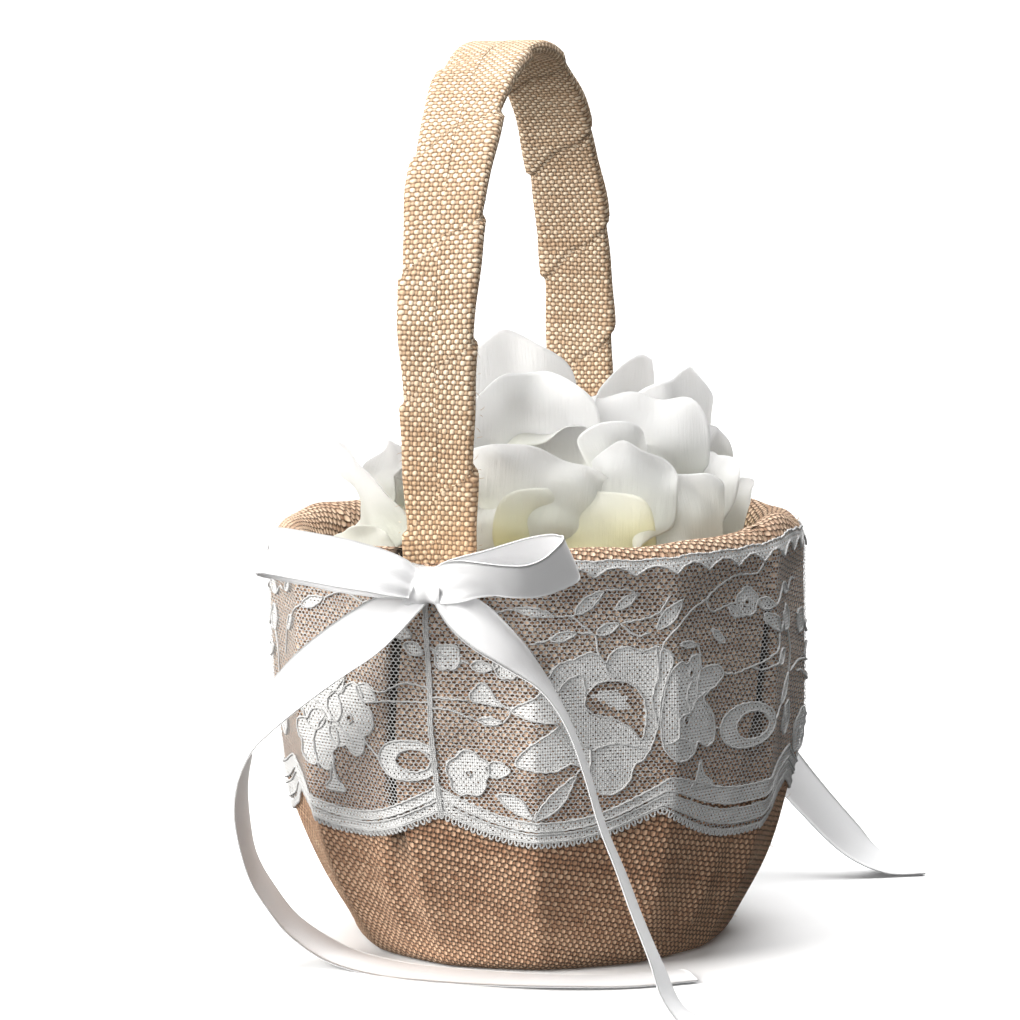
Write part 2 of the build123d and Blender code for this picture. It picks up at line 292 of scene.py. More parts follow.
def burlap_material(name, light, dark, gap_shade_colour, low_shade_tint, low_shade_span):
    """Plain-woven jute.  uv counts threads; the second uv map holds painted shade in x, 1 deep in a fold.  The gap
    colour is painted shade low between the threads, and the low tint is painted shade towards the bottom.
    """
    g = Graph(name)
    raw_u, raw_v = g.uv()
    wander = g.noise(g.vector(raw_u, raw_v), 0.35, 2)
    drift = g.math("MULTIPLY", g.math("SUBTRACT", wander, 0.5), 0.55)
    u = g.math("ADD", raw_u, drift)
    v = g.math("SUBTRACT", raw_v, drift)
    row_u, row_v = g.math("FLOOR", u), g.math("FLOOR", v)
    across_u = g.math("SUBTRACT", g.math("SUBTRACT", u, row_u), 0.5)
    across_v = g.math("SUBTRACT", g.math("SUBTRACT", v, row_v), 0.5)
    parity = g.math("FLOORED_MODULO", g.math("ADD", row_u, row_v), 2.0)
    sign = g.math("SUBTRACT", 1.0, g.math("MULTIPLY", parity, 2.0))
    thick_u = g.blend(g.random(row_u), 0.34, 0.46)
    thick_v = g.blend(g.random(g.math("ADD", row_v, 517.0)), 0.36, 0.50)

    def thread(across, along, thick, way, lift):
        share = g.math("DIVIDE", across, thick)
        crown = g.math("SUBTRACT", 1.0, g.math("MULTIPLY", share, share), clamp=True)
        sway = g.math("MULTIPLY", g.math("COSINE", g.math("MULTIPLY", along, pi)), way)
        rounded = g.math("ADD", g.math("MULTIPLY", g.math("SQRT", crown), 0.62), lift)
        return g.math("ADD", rounded, g.math("MULTIPLY", sway, 0.50))

    warp = thread(across_u, across_v, thick_u, sign, -0.30)
    weft = thread(across_v, across_u, thick_v, g.math("MULTIPLY", sign, -1.0), 0.16)
    top = g.math("MAXIMUM", warp, weft)
    is_warp = g.math("GREATER_THAN", warp, weft)
    fibre_warp = g.noise(g.vector(g.math("MULTIPLY", u, 9.0), g.math("MULTIPLY", v, 1.3)), 1.0, 3, 0.6)
    fibre_weft = g.noise(g.vector(g.math("MULTIPLY", u, 1.3), g.math("MULTIPLY", v, 9.0)), 1.0, 3, 0.6)
    fibre = g.blend(is_warp, fibre_weft, fibre_warp)
    own_tone = g.blend(is_warp, g.random(g.math("ADD", row_v, 91.0)), g.random(row_u))
    slub = g.noise(g.blend(is_warp, g.math("ADD", g.math("MULTIPLY", u, 0.5), g.math("MULTIPLY", row_v, 7.3)),
                           g.math("ADD", g.math("MULTIPLY", v, 0.5), g.math("MULTIPLY", row_u, 5.1))),
                   1.0, 2, 0.5, "1D")
    tone = g.math("ADD", g.math("MULTIPLY", own_tone, 0.30), g.math("MULTIPLY", fibre, 0.55))
    tone = g.math("ADD", tone, g.math("MULTIPLY", slub, 0.40))
    patchy = g.noise(g.position(), 60.0, 3)
    tone = g.math("ADD", tone, g.math("MULTIPLY", g.math("SUBTRACT", patchy, 0.5), 0.35))
    grain = g.random(g.math("ADD", row_u, g.math("MULTIPLY", row_v, 57.3)))
    tone = g.math("ADD", tone, g.math("MULTIPLY", g.math("SUBTRACT", grain, 0.5), 0.30))
    tone = g.math("SUBTRACT", tone, g.math("MULTIPLY", is_warp, 0.42))
    colour = g.mix(g.smooth(tone, 0.20, 0.85), dark, light)
    # painted shade: below the height span the colour is multiplied by the low tint, darker and redder towards the
    # bottom
    colour = g.mix(g.smooth(g.height(), low_shade_span[0], low_shade_span[1]), g.mix(1.0, colour, low_shade_tint, "MULTIPLY"), colour)
    # painted shade: the low places of the threads, between the crowns, take the gap colour
    depth = g.smooth(top, 0.25, 1.0)
    colour = g.mix(depth, gap_shade_colour, colour)
    # painted shade: near-black in deep folds and under wound turns, read from the second uv map
    fold, _ = g.uv("painted_shade_uv")
    colour = g.mix(fold, colour, (0.006, 0.005, 0.004, 1))
    g.set(Base_Color=colour, Roughness=0.92, Specular_IOR_Level=0.12, Sheen_Weight=0.22, Sheen_Roughness=0.6)
    g.set(Sheen_Tint=(0.9, 0.75, 0.58, 1))
    relief = g.math("ADD", g.math("MULTIPLY", top, 1.0), g.math("MULTIPLY", fibre, 0.22))
    g.bump(relief, 0.00042, 1.0)
    return g.material


def satin_material():
    """White satin ribbon; uv is in millimetres, v along the ribbon."""
    g = Graph("satin_ribbon")
    u, v = g.uv()
    warp_lines = g.noise(g.vector(g.math("MULTIPLY", u, 9.0), g.math("MULTIPLY", v, 0.5)), 1.0, 2)
    creases = g.noise(g.vector(g.math("MULTIPLY", u, 0.12), g.math("MULTIPLY", v, 0.05)), 1.0, 3)
    edge = g.math("MINIMUM", u, g.math("SUBTRACT", RIBBON_WIDTH, u))
    selvedge = g.smooth(edge, 0.25, 0.55)
    colour = g.mix(selvedge, (0.80, 0.80, 0.80, 1), (0.885, 0.885, 0.89, 1))
    colour = g.mix(g.math("MULTIPLY", warp_lines, 0.10), colour, (0.74, 0.74, 0.76, 1))
    weft_nibs = g.math("MULTIPLY", g.math("SINE", g.math("MULTIPLY", v, 14.0)), g.math("SUBTRACT", 1.0, selvedge))
    relief = g.math("ADD", g.math("MULTIPLY", warp_lines, 0.5), g.math("MULTIPLY", creases, 2.0))
    relief = g.math("ADD", relief, g.math("MULTIPLY", weft_nibs, 0.5))
    rough = g.blend(warp_lines, 0.34, 0.50)
    g.set(Base_Color=colour, Roughness=rough, Specular_IOR_Level=0.38, Sheen_Weight=0.25, Sheen_Roughness=0.35)
    g.set(Anisotropic=0.35)
    g.bump(relief, 0.00009, 1.0)
    return g.material


def petal_material(name, low, high):
    """Thin artificial silk: pale, faintly veined, light shining through."""
    g = Graph(name)
    u, v = g.uv()
    veins = g.noise(g.vector(g.math("MULTIPLY", u, 1.6), g.math("MULTIPLY", v, 0.10)), 1.0, 3, 0.6)
    weave = g.noise(g.vector(g.math("MULTIPLY", u, 7.0), g.math("MULTIPLY", v, 7.0)), 1.0, 1)
    cloud = g.noise(g.position(), 45.0, 2)
    root = g.smooth(v, 4.0, 26.0)
    colour = g.mix(root, low, high)
    colour = g.mix(g.math("MULTIPLY", cloud, 0.10), colour, (0.84, 0.86, 0.84, 1))
    g.set(Base_Color=colour, Roughness=0.72, Specular_IOR_Level=0.18, Sheen_Weight=0.3, Sheen_Roughness=0.5)
    relief = g.math("ADD", g.math("MULTIPLY", veins, 1.0), g.math("MULTIPLY", weave, 0.25))
    normal = g.bump(relief, 0.00018, 1.0)
    glow = g.node("ShaderNodeBsdfTranslucent")
    g.feed(glow.inputs["Color"], colour)
    g.feed(glow.inputs["Normal"], normal)
    both = g.node("ShaderNodeMixShader")
    both.inputs[0].default_value = 0.58
    g.tree.links.new(g.shader.outputs[0], both.inputs[1])
    g.tree.links.new(glow.outputs[0], both.inputs[2])
    g.tree.links.new(both.outputs[0], g.output.inputs[0])
    return g.material


def lace_material(name, colour, rib, coarse):
    """Cotton lace thread or clothwork: fine ribs across it, matt."""
    g = Graph(name)
    u, v = g.uv()
    ribs = g.math("SINE", g.math("MULTIPLY", u, rib))
    rows = g.math("SINE", g.math("MULTIPLY", v, rib * 0.8))
    fuzz = g.noise(g.position(), 2400.0, 2)
    density = g.noise(g.vector(g.math("MULTIPLY", u, 0.55), g.math("MULTIPLY", v, 0.55)), 1.0, 3)
    weave = g.math("MULTIPLY", g.math("ADD", ribs, rows), 0.25)
    shade = g.math("ADD", g.math("MULTIPLY", weave, coarse), g.math("MULTIPLY", fuzz, 0.25))
    shade = g.math("ADD", shade, g.math("MULTIPLY", density, coarse * 0.9))
    darker = tuple(c * 0.62 for c in colour[:3]) + (1,)
    tinted = g.mix(g.smooth(shade, 0.75, 0.05), colour, darker)
    g.set(Base_Color=tinted, Roughness=0.85, Specular_IOR_Level=0.2, Sheen_Weight=0.15)
    g.bump(g.math("ADD", weave, fuzz), 0.00012, 1.0)
    return g.material


def plain_material(name, first, second, scale, roughness, relief, metallic=0.0, stretch=1.0):
    """Board, wood or metal with grain or mottling."""
    g = Graph(name)
    parts = g.node("ShaderNodeMapping")
    g.feed(parts.inputs[0], g.position())
    parts.inputs["Scale"].default_value = (1.0, 1.0, stretch)
    grain = g.noise(parts.outputs[0], scale, 5, 0.6)
    spots = g.noise(g.position(), scale * 0.22, 2)
    colour = g.mix(g.math("ADD", g.math("MULTIPLY", grain, 0.7), g.math("MULTIPLY", spots, 0.4)), first, second)
    g.set(Base_Color=colour, Roughness=g.blend(grain, roughness - 0.1, roughness + 0.1), Metallic=metallic)
    g.bump(grain, relief, 0.8)
    return g.material


# ---------------------------------------------------------------- materials
BURLAP = burlap_material("burlap_cover", (0.85, 0.64, 0.47, 1), (0.47, 0.28, 0.18, 1), (0.070, 0.038, 0.024, 1),
                         (0.88, 0.76, 0.68, 1), (0.030, 0.075))
BURLAP_HANDLE = burlap_material("burlap_wrap", (0.90, 0.75, 0.57, 1), (0.60, 0.41, 0.26, 1),
                                (0.24, 0.145, 0.085, 1), (0.92, 0.82, 0.72, 1), (0.095, 0.150))
SATIN = satin_material()
PETAL_WHITE = petal_material("petal_white", (0.86, 0.87, 0.81, 1), (0.88, 0.88, 0.88, 1))
PETAL_CREAM = petal_material("petal_cream", (0.90, 0.88, 0.56, 1), (0.86, 0.86, 0.81, 1))
LACE_NET = lace_material("lace_net", (0.80, 0.80, 0.79, 1), 9.0, 0.2)
LACE_CLOTH = lace_material("lace_cloth", (0.84, 0.84, 0.83, 1), 11.0, 0.75)
LACE_CORD = lace_material("lace_cord", (0.90, 0.90, 0.89, 1), 16.0, 0.2)
BOARD = plain_material("bowl_board", (0.10, 0.065, 0.045, 1), (0.19, 0.13, 0.09, 1), 240.0, 0.85, 0.0003)
WOOD = plain_material("stake_wood", (0.42, 0.29, 0.17, 1), (0.60, 0.44, 0.28, 1), 420.0, 0.7, 0.0003, 0.0, 0.12)
WIRE = plain_material("hoop_wire", (0.50, 0.50, 0.51, 1), (0.62, 0.61, 0.60, 1), 900.0, 0.42, 0.00005, 0.9)
STEEL = plain_material("tack_steel", (0.52, 0.50, 0.47, 1), (0.66, 0.64, 0.60, 1), 1200.0, 0.38, 0.00005, 0.9)


# ---------------------------------------------------------------- camera, light, floor
CAMERA_AZIMUTH = 16.1        # degrees from the front, towards the right
CAMERA_DISTANCE = 850.0
CAMERA_HEIGHT = 190.0
CAMERA_ROLL = 1.05
LENS = 123.9
AIM = (-6.1, -1.8, 104.2)


def make_camera():
    a = radians(CAMERA_AZIMUTH)
    eye = Vector((CAMERA_DISTANCE * sin(a), -CAMERA_DISTANCE * cos(a), CAMERA_HEIGHT)) * MM
    look = Vector(AIM) * MM - eye
    turn = look.to_track_quat("-Z", "Y").to_matrix() @ Matrix.Rotation(-radians(CAMERA_ROLL), 3, "Z")
    camera = bpy.data.objects.new("camera", bpy.data.cameras.new("camera"))
    camera.matrix_world = Matrix.Translation(eye) @ turn.to_4x4()
    camera.data.lens = LENS
    camera.data.sensor_width = 36.0
    camera.data.clip_start = 0.05
    camera.data.clip_end = 20.0
    bpy.context.scene.collection.objects.link(camera)
    bpy.context.scene.camera = camera


def make_light(name, place_mm, size, power, colour, aim=(0, 0, 90)):
    light = bpy.data.lights.new(name, "AREA")
    light.shape = "DISK"
    light.size = size
    light.energy = power
    light.color = colour
    lamp = bpy.data.objects.new(name, light)
    lamp.location = Vector(place_mm) * MM
    lamp.rotation_euler = (Vector(aim) * MM - lamp.location).to_track_quat("-Z", "Y").to_euler()
    bpy.context.scene.collection.objects.link(lamp)


def make_stage():
    g = Graph("floor_paper")
    haze = g.noise(g.position(), 3.0, 2)
    g.set(Base_Color=g.mix(haze, (0.93, 0.93, 0.93, 1), (0.96, 0.96, 0.96, 1)), Roughness=0.9)
    g.set(Specular_IOR_Level=0.05)
    half, rise, bend = 2600.0, 2600.0, 500.0
    turns = np.linspace(0, pi / 2, 12)
    section = [(-half, 0.0)] + [(half - bend + bend * sin(t), bend - bend * cos(t)) for t in turns]
    section.append((half, rise))
    section = np.array(section)
    direction = radians(90 + CAMERA_AZIMUTH)
    back = np.array([cos(direction), sin(direction), 0])
    side = np.array([sin(direction), -cos(direction), 0])
    rows = [back * d + np.array([0, 0, z - 0.05]) for d, z in section]
    points = np.stack([[row + side * w for w in (-half, half)] for row in rows])
    faces, _, _ = grid_faces(len(rows), 2)
    floor = new_mesh("floor", points, faces, g.material)
    floor.visible_diffuse = False        # a black flag under the basket keeps its far side dark
    world = bpy.data.worlds.new("studio")
    world.use_nodes = True
    sky = world.node_tree.nodes["Background"]
    sky.inputs[0].default_value = (1.0, 1.0, 1.0, 1)
    sky.inputs[1].default_value = 0.14
    bpy.context.scene.world = world


make_camera()
make_stage()
make_light("key", (-860, -800, 620), 0.90, 27.0, (1.0, 0.985, 0.96))
make_light("overhead", (0, 300, 1500), 1.6, 38.0, (1.0, 1.0, 1.0))
make_light("fill", (120, -1700, 620), 1.2, 12.0, (1.0, 1.0, 1.0))
make_light("backdrop_left", (-900, 1000, 700), 0.8, 30.0, (1.0, 1.0, 1.0), (-900, 2600, 700))
make_light("backdrop_right", (900, 1200, 700), 0.8, 30.0, (1.0, 1.0, 1.0), (300, 2600, 700))
bpy.context.scene.view_settings.view_transform = "Standard"


# ---------------------------------------------------------------- bowl surface
def wall_radius(z):
    rise = np.clip(1 - np.asarray(z, float) / SHOULDER, 0, None)
    return BOWL_RADIUS - (BOWL_RADIUS - FOOT_RADIUS) * rise**BELLY_POWER


def bell(x, width):
    return np.exp(-(x / width)**2)


def turn_between(a, b):
    """Signed difference of two directions, in degrees."""
    return (a - b + 180) % 360 - 180


def step_up(x, low, high):
    t = np.clip((x - low) / (high - low), 0, 1)
    return t * t * (3 - 2 * t)


# direction, depth, half width in degrees and the height where the slit closes at the bottom
PLEATS = ((-105.1, 2.8, 1.45, 26.0), (-17.0, 2.5, 1.45, 46.0), (75.0, 2.2, 1.0, 30.0), (165.0, 2.3, 1.1, 34.0))
OPEN_PLEAT = -105.1          # this one gapes at the rim, beside the near foot of the handle
PLEAT_SLANT = 0.066          # degrees a pleat leans for each millimetre of height


def facet_pull(theta, z):
    """How far the cloth sits inside the round, pulled straight between two stakes."""
    near = 15 - np.abs((theta + 375) % 30 - 15)      # degrees from the nearest stake
    off = 15 - np.hypot(near, 2.0) + 2.0 * np.exp(-near / 4.0)      # from the facet's middle, rounded at the stake
    flat = 1 - cos(radians(15)) / np.cos(np.radians(off))
    sag = 0.007 * np.cos(np.radians(off * 6))
    strength = 1 - 0.85 * step_up(z, 88, 99)
    for side in (-1, 1):                             # the handle's strip fills the cloth out
        leg = degrees(atan2(side * 63, HANDLE_X))
        strength = strength * (1 - bell(turn_between(theta, leg), 7) * step_up(z, 52, 64))
    return wall_radius(z) * (flat + sag) * strength


def pleat_depth_and_shade(theta, z):
    """Depth of the pleats, with the cloth lying over the left side of each, and the painted shade in them."""
    shape = np.broadcast(theta, z).shape
    depth, dark = np.zeros(shape), np.zeros(shape)
    for direction, deep, half, bottom in PLEATS:
        off = turn_between(theta, direction + PLEAT_SLANT * (z - 80) + 0.3 * np.sin(z / 11.0))
        reach = step_up(z, bottom, bottom + 16)
        width = half * (1.0 + 0.5 * step_up(z, 90, 98) + 1.6 * (1 - reach))
        groove = np.exp(-(off / width)**4)
        depth = depth + deep * groove * (0.35 + 0.65 * reach) * step_up(z, bottom - 22, bottom)
        lap = 1.5 * bell(off + 2.6 * half + 3.6 * (1 - reach), 2.2 + 1.5 * (1 - reach))
        depth = depth - lap * step_up(z, 2, 14) * (1 - 0.95 * step_up(z, 24, 33))
        # painted shade down each slit; only the open pleat keeps it above 86 mm
        shown = (z < 86) if direction != OPEN_PLEAT else 1.0
        dark = np.maximum(dark, step_up(groove, 0.2, 0.8) * step_up(z, bottom - 4, bottom + 14) * shown)
    # the open pleat's mouth at the rim is deepened and filled with painted shade
    mouth = np.exp(-(turn_between(theta, OPEN_PLEAT + 0.6) / 2.3)**4) * step_up(z, 92, 97)
    depth, dark = depth + 2.2 * mouth, np.maximum(dark, mouth)
    return depth, dark


def cloth_ripple(theta, z):
    """Small unevenness of hand-stretched burlap."""
    t = np.radians(theta)
    return (0.22 * np.sin(5 * t + z / 9) + 0.16 * np.sin(11 * t - z / 6 + 1) + 0.10 * np.sin(23 * t + z / 4 + 2)
            + 0.35 * bell(z - 8, 10) * np.sin(12 * t + 0.9 + z / 7))


def rim_lift(theta):
    """The rolled rim stands a little higher at the back and in one thick fold at the right."""
    t = np.radians(theta)
    rise = 1.3 - 1.3 * np.cos(t + radians(82))
    rise += 2.6 * bell(turn_between(theta, -5), 9) + 1.2 * bell(turn_between(theta, 172), 22)
    rise += 0.25 * np.sin(9 * t) + 0.18 * np.sin(17 * t + 1)
    for side in (-1, 1):
        leg = degrees(atan2(side * 63, HANDLE_X))
        rise -= 1.0 * bell(turn_between(theta, leg), 9)
    return rise


def cover_profile():
    """Points (radius, height, share of rim roll) from under the base, up the wall, over the rim and down."""
    base = [(r, 0.0, 0.0) for r in np.linspace(PATCH_RADIUS, BASE_RADIUS, 6)]
    turn = []
    for t in np.linspace(0, 1, 8)[1:-1]:
        r = (1 - t)**2 * BASE_RADIUS + 2 * t * (1 - t) * (BASE_RADIUS + 4.4) + t * t * float(wall_radius(FOLD_HEIGHT))
        z = t * t * FOLD_HEIGHT
        turn.append((r, z, 0.0))
    wall = [(float(wall_radius(z)), z, 0.0) for z in np.linspace(FOLD_HEIGHT, RIM_START, 88)]
    outer = [(RIM_CREST + (BOWL_RADIUS - RIM_CREST) * cos(t), RIM_START + (RIM_HEIGHT - RIM_START) * sin(t),
              sin(t)) for t in np.linspace(0, pi / 2, 12)[1:]]
    inner = [(RIM_CREST - (RIM_CREST - LIP_RADIUS) * sin(t), 95.4 + (RIM_HEIGHT - 95.4) * cos(t),
              0.25 + 0.75 * cos(t)) for t in np.linspace(0, pi / 2, 12)[1:]]
    lip = [(LIP_RADIUS, z, 0.2 * (z - LIP_BOTTOM) / 8.4) for z in np.linspace(95.4, LIP_BOTTOM, 8)[1:]]
    return np.array(base + turn + wall + outer + inner + lip)


def cover_point(theta, r, z, roll, pleats=True):
    """A point of the cover, for arrays of direction, round radius, height and share of rim roll."""
    on_wall = step_up(z, 1.0, 9.0) * (roll < 0.999)
    pull = facet_pull(theta, z) * (0.35 + 0.65 * step_up(z, 0.0, 8.0)) * (1 - roll)
    depth, dark = pleat_depth_and_shade(theta, z)
    fold = depth * on_wall * (1 - 0.55 * roll) if pleats else 0.0
    radius = r - pull - fold + cloth_ripple(theta, z) * step_up(z, 0.5, 6.0)
    height = z + rim_lift(theta) * roll
    t = np.radians(theta)
    # with the points goes the painted shade of the pleats, on the wall only
    return np.stack([radius * np.cos(t), radius * np.sin(t), height], -1), dark * on_wall


def lace_point(s, z, out):
    """Point of the lace band: s millimetres to the right of its seam, z high, out from the cloth."""
    theta = SEAM_DIRECTION + np.degrees(s / BOWL_RADIUS)
    roll = np.clip((z - RIM_START) / (RIM_HEIGHT - RIM_START), 0, 1)
    round_radius = np.where(z > RIM_START, RIM_CREST + (BOWL_RADIUS - RIM_CREST) * np.sqrt(1 - roll**2),
                            wall_radius(z))
    points, _ = cover_point(theta, round_radius, z, roll, pleats=False)
    flutter = 0.10 * np.sin(s / 3.1 + z / 5) + 0.06 * np.sin(s / 1.7 - z / 3)
    t = np.radians(theta)
    push = out + flutter * (0.4 + 0.6 * (z < 40))
    points[..., 0] += push * np.cos(t)
    points[..., 1] += push * np.sin(t)
    return points


# ---------------------------------------------------------------- burlap cover
THREAD = 1.27                # spacing of the cover's threads
CLOSE = 0.82                 # the upright threads lie closer than the others
COVER_BIAS = radians(-11)    # the cloth was cut a little off the thread


def make_cover():
    profile = cover_profile()
    near_pleats = [direction + np.arange(-4.5, 4.6, 0.16) for direction, _, _, _ in PLEATS]
    directions = np.concatenate([np.arange(-180, 180, 0.9)] + near_pleats)
    directions = np.unique(np.round((directions + 180) % 360 - 180, 3))
    theta = directions[None, :]
    r, z, roll = (profile[:, k][:, None] for k in range(3))
    points, dark = cover_point(theta, r, z, roll)
    rows, columns = points.shape[:2]
    faces, ci, cj = grid_faces(rows, columns, close_columns=True)
    run = np.concatenate([[0], np.cumsum(np.hypot(np.diff(profile[:, 0]), np.diff(profile[:, 1])))])
    arc = np.radians(np.concatenate([directions, [directions[0] + 360]])) * BOWL_RADIUS
    across, up = arc[cj], run[ci]
    u = (across * cos(COVER_BIAS) + up * sin(COVER_BIAS)) / (THREAD * CLOSE)
    v = (up * cos(COVER_BIAS) - across * sin(COVER_BIAS)) / THREAD
    # painted shade of the pleats, carried to the material in the second uv map
    painted_shade_uv = np.stack([dark[ci % rows, cj % columns], np.zeros(ci.shape)], -1)
    piece = new_mesh("burlap_cover_cloth", points, faces, BURLAP, uv=np.stack([u, v], -1), painted_shade_uv=painted_shade_uv)
    place(piece, "basket", "burlap", "burlap_cover")


# ---------------------------------------------------------------- lining and base patch
def make_lining():
    heights = np.concatenate([[5.2], np.linspace(7, 93, 44)])
    theta = np.arange(-180, 180, 2.0)[None, :]
    z = heights[:, None]
    radius = wall_radius(z) - 8.0 - 0.9 * facet_pull(theta, z) + 0.3 * cloth_ripple(theta, z)
    radius = np.minimum(radius, 54.2 + 0 * theta)
    t = np.radians(theta)
    wall = np.stack([radius * np.cos(t), radius * np.sin(t), z + 0 * theta], -1)
    shares = np.linspace(0.04, 0.93, 12)[:, None, None]
    floor = wall[:1] * np.array([1, 1, 0]) * shares + np.array([0, 0, 5.0])
    points = np.concatenate([floor, wall])
    rows, columns = points.shape[:2]
    faces, ci, cj = grid_faces(rows, columns, close_columns=True)
    ring_run = np.concatenate([shares.ravel() * 40, 40 + heights])
    uv = np.stack([cj * radians(2.0) * 52 / THREAD, ring_run[ci] / THREAD], -1)
    piece = new_mesh("lining_cloth", points, faces, BURLAP, uv=uv, painted_shade_uv=np.zeros(uv.shape))
    place(piece, "basket", "burlap", "lining")


def make_base_patch():
    rings = np.linspace(0.5, PATCH_RADIUS - 0.4, 14)[:, None]
    t = np.radians(np.arange(0, 360, 4.0))[None, :]
    points = np.stack([rings * np.cos(t), rings * np.sin(t), 0.25 + 0.12 * np.sin(rings / 3) + 0 * t], -1)
    rows, columns = points.shape[:2]
    faces, ci, cj = grid_faces(rows, columns, close_columns=True)
    uv = points.reshape(-1, 3)[faces.ravel()][:, :2] / THREAD
    piece = new_mesh("base_patch_cloth", points, faces, BURLAP, uv=uv, painted_shade_uv=np.zeros(uv.shape))
    place(piece, "basket", "burlap", "base_patch")


# ---------------------------------------------------------------- handle wrap
WRAP_THREAD = 1.12
WRAP_PITCH = 29.0
WRAP_LOW = 94.0
WRAP_WIDTH = 15.7            # bare width, before the thickness of the wound cloth
WRAP_DEPTH = 3.2
WRAP_SPREAD = 2.2            # how much broader the wound strip is over the arch
WRAP_START = -4.0            # where along the leg the first turn begins


def handle_path(count):
    """Middle line of the handle from the front foot to the back foot: points, directions outwards."""
    legs = np.linspace(WRAP_LOW, LEG_TOP, 60)[:-1]
    arch = np.linspace(0, pi, 260)
    y = np.concatenate([np.full(59, -STRIP_MIDDLE), -STRIP_MIDDLE * np.cos(arch), np.full(59, STRIP_MIDDLE)])
    z = np.concatenate([legs, LEG_TOP + (STRIP_MIDDLE + ARCH_RISE) * np.sin(arch), legs[::-1]])
    path = smooth_path(np.stack([np.full(len(y), HANDLE_X), y, z], 1)[::3], count)
    along = unit(np.gradient(path, axis=0))
    outward = np.cross(along, np.array([1.0, 0, 0]))
    return path, unit(outward)


def make_handle_wrap():
    count = 560
    path, outward = handle_path(count)
    run = np.concatenate([[0], np.cumsum(np.linalg.norm(np.diff(path, axis=0), axis=1))])
    half_w, half_d = WRAP_WIDTH / 2, WRAP_DEPTH / 2
    # rounded rectangle from the middle of the inner face, round the outer face and back
    t = np.linspace(-pi, pi, 721)
    c, s = np.cos(t), np.sin(t)
    x = half_w * np.sign(s) * np.abs(s)**0.30
    d = half_d * np.sign(c) * np.abs(c)**0.48
    steps = np.concatenate([[0], np.cumsum(np.hypot(np.diff(x), np.diff(d)))])
    girth = steps[-1]
    around = 84
    at = np.linspace(0, girth, around)
    x, d = np.interp(at, steps, x), np.interp(at, steps, d)
    share = (at / girth - 0.5)[None, :]
    along = run[:, None]
    turn = (along + WRAP_PITCH * share + WRAP_START) / WRAP_PITCH + 0.03 * np.sin(share * 19 + 2)
    whole, phase = np.floor(turn), turn % 1.0
    side = (np.abs(x) / half_w)[None, :]
    lift = (0.35 + 0.85 * side**6) * step_up(phase, -0.1, 0.92) * (1 - step_up(phase, 0.955, 1.0))
    ripple = 0.12 * np.sin(along / 5.3 + share * 9) + 0.10 * np.sin(along / 2.9 + whole)
    out = lift + ripple
    normal_x = (np.sign(x) * (np.abs(x) / half_w)**8)[None, :]
    normal_d = np.sign(d)[None, :] * np.sqrt(1 - normal_x**2)
    spread = 1 + WRAP_SPREAD / WRAP_WIDTH * step_up(path[:, 2], 120, 185)[:, None]
    points = (path[:, None, :] + (x[None, :] * spread + normal_x * out)[..., None] * np.array([1.0, 0, 0])
              + (d[None, :] + normal_d * out * 0.8)[..., None] * outward[:, None, :])
    faces, ci, cj = grid_faces(count, around)
    # each face takes the turn of cloth that its first corner lies in
    own = whole[ci[:, :1], cj[:, :1]]
    own_slant = radians(4) * np.sin(own * 1.7 + 0.6)
    across, up = share[0][cj] * girth, run[ci]
    u = (across * np.cos(own_slant) + up * np.sin(own_slant)) / (WRAP_THREAD * CLOSE) + own * 3.37
    v = (up * np.cos(own_slant) - across * np.sin(own_slant)) / WRAP_THREAD + own * 5.71
    # painted shade at the end of each turn, where it tucks under the next
    dark = step_up(phase, 0.965, 0.99)[ci, cj] * 0.45
    piece = new_mesh("handle_wrap_cloth", points, faces, BURLAP_HANDLE, uv=np.stack([u, v], -1),
                     painted_shade_uv=np.stack([dark, np.zeros(dark.shape)], -1))
    place(piece, "basket", "burlap", "handle_wrap")


# ---------------------------------------------------------------- lace band
SEAM_DIRECTION = -96.5
FIRST_WAVE = 55.7            # length of the first wave of the lower edge, right of the seam
CELL = 408.4 / 336           # width of a net cell
CELL_ROW = 0.76              # height of a row of cells
LACE_LENGTH = 408.4
WAVES = 7
NET_HOLE = 0.79              # size of a net cell's hole, as a share of the cell
SCALLOP = LACE_LENGTH / 42


def wave_place(s):
    """Number of the wave that s lies in, and how far along it, from 0 to 1."""
    later = (LACE_LENGTH - FIRST_WAVE) / (WAVES - 1)
    share = np.where(s < FIRST_WAVE, s / FIRST_WAVE, 1 + (s - FIRST_WAVE) / later)
    number = np.clip(np.floor(share), 0, WAVES - 1)
    return number, np.clip(share - number, 0, 1)


def lower_edge(s):
    """Height of the lace's lower edge: rounded waves that meet in points."""
    number, share = wave_place(s)
    low = np.where(number % 2 == 0, 32.6, 30.6)
    return low + (39.4 - low) * (1 - np.sin(pi * share))**1.15


def border_width(s):
    """The double border is narrow on the flowered waves and broad on the others."""
    number, share = wave_place(s)
    broad = 0.50 + 0.50 * (number % 2)
    ends = 0.58
    return broad + (ends - broad) * (1 - np.sin(pi * share)**0.6)


def upper_edge(s):
    return 98.2 + 0.35 * np.abs(np.sin(pi * s / SCALLOP))


def top_band_edge(s):
    return 94.6 + 2.3 * np.abs(np.sin(pi * s / SCALLOP))**0.8


def band_depth(s, z):
    """Distance inwards from the lower edge."""
    slope = (lower_edge(s + 0.4) - lower_edge(s - 0.4)) / 0.8
    return (z - lower_edge(s)) / np.sqrt(1 + slope**2)


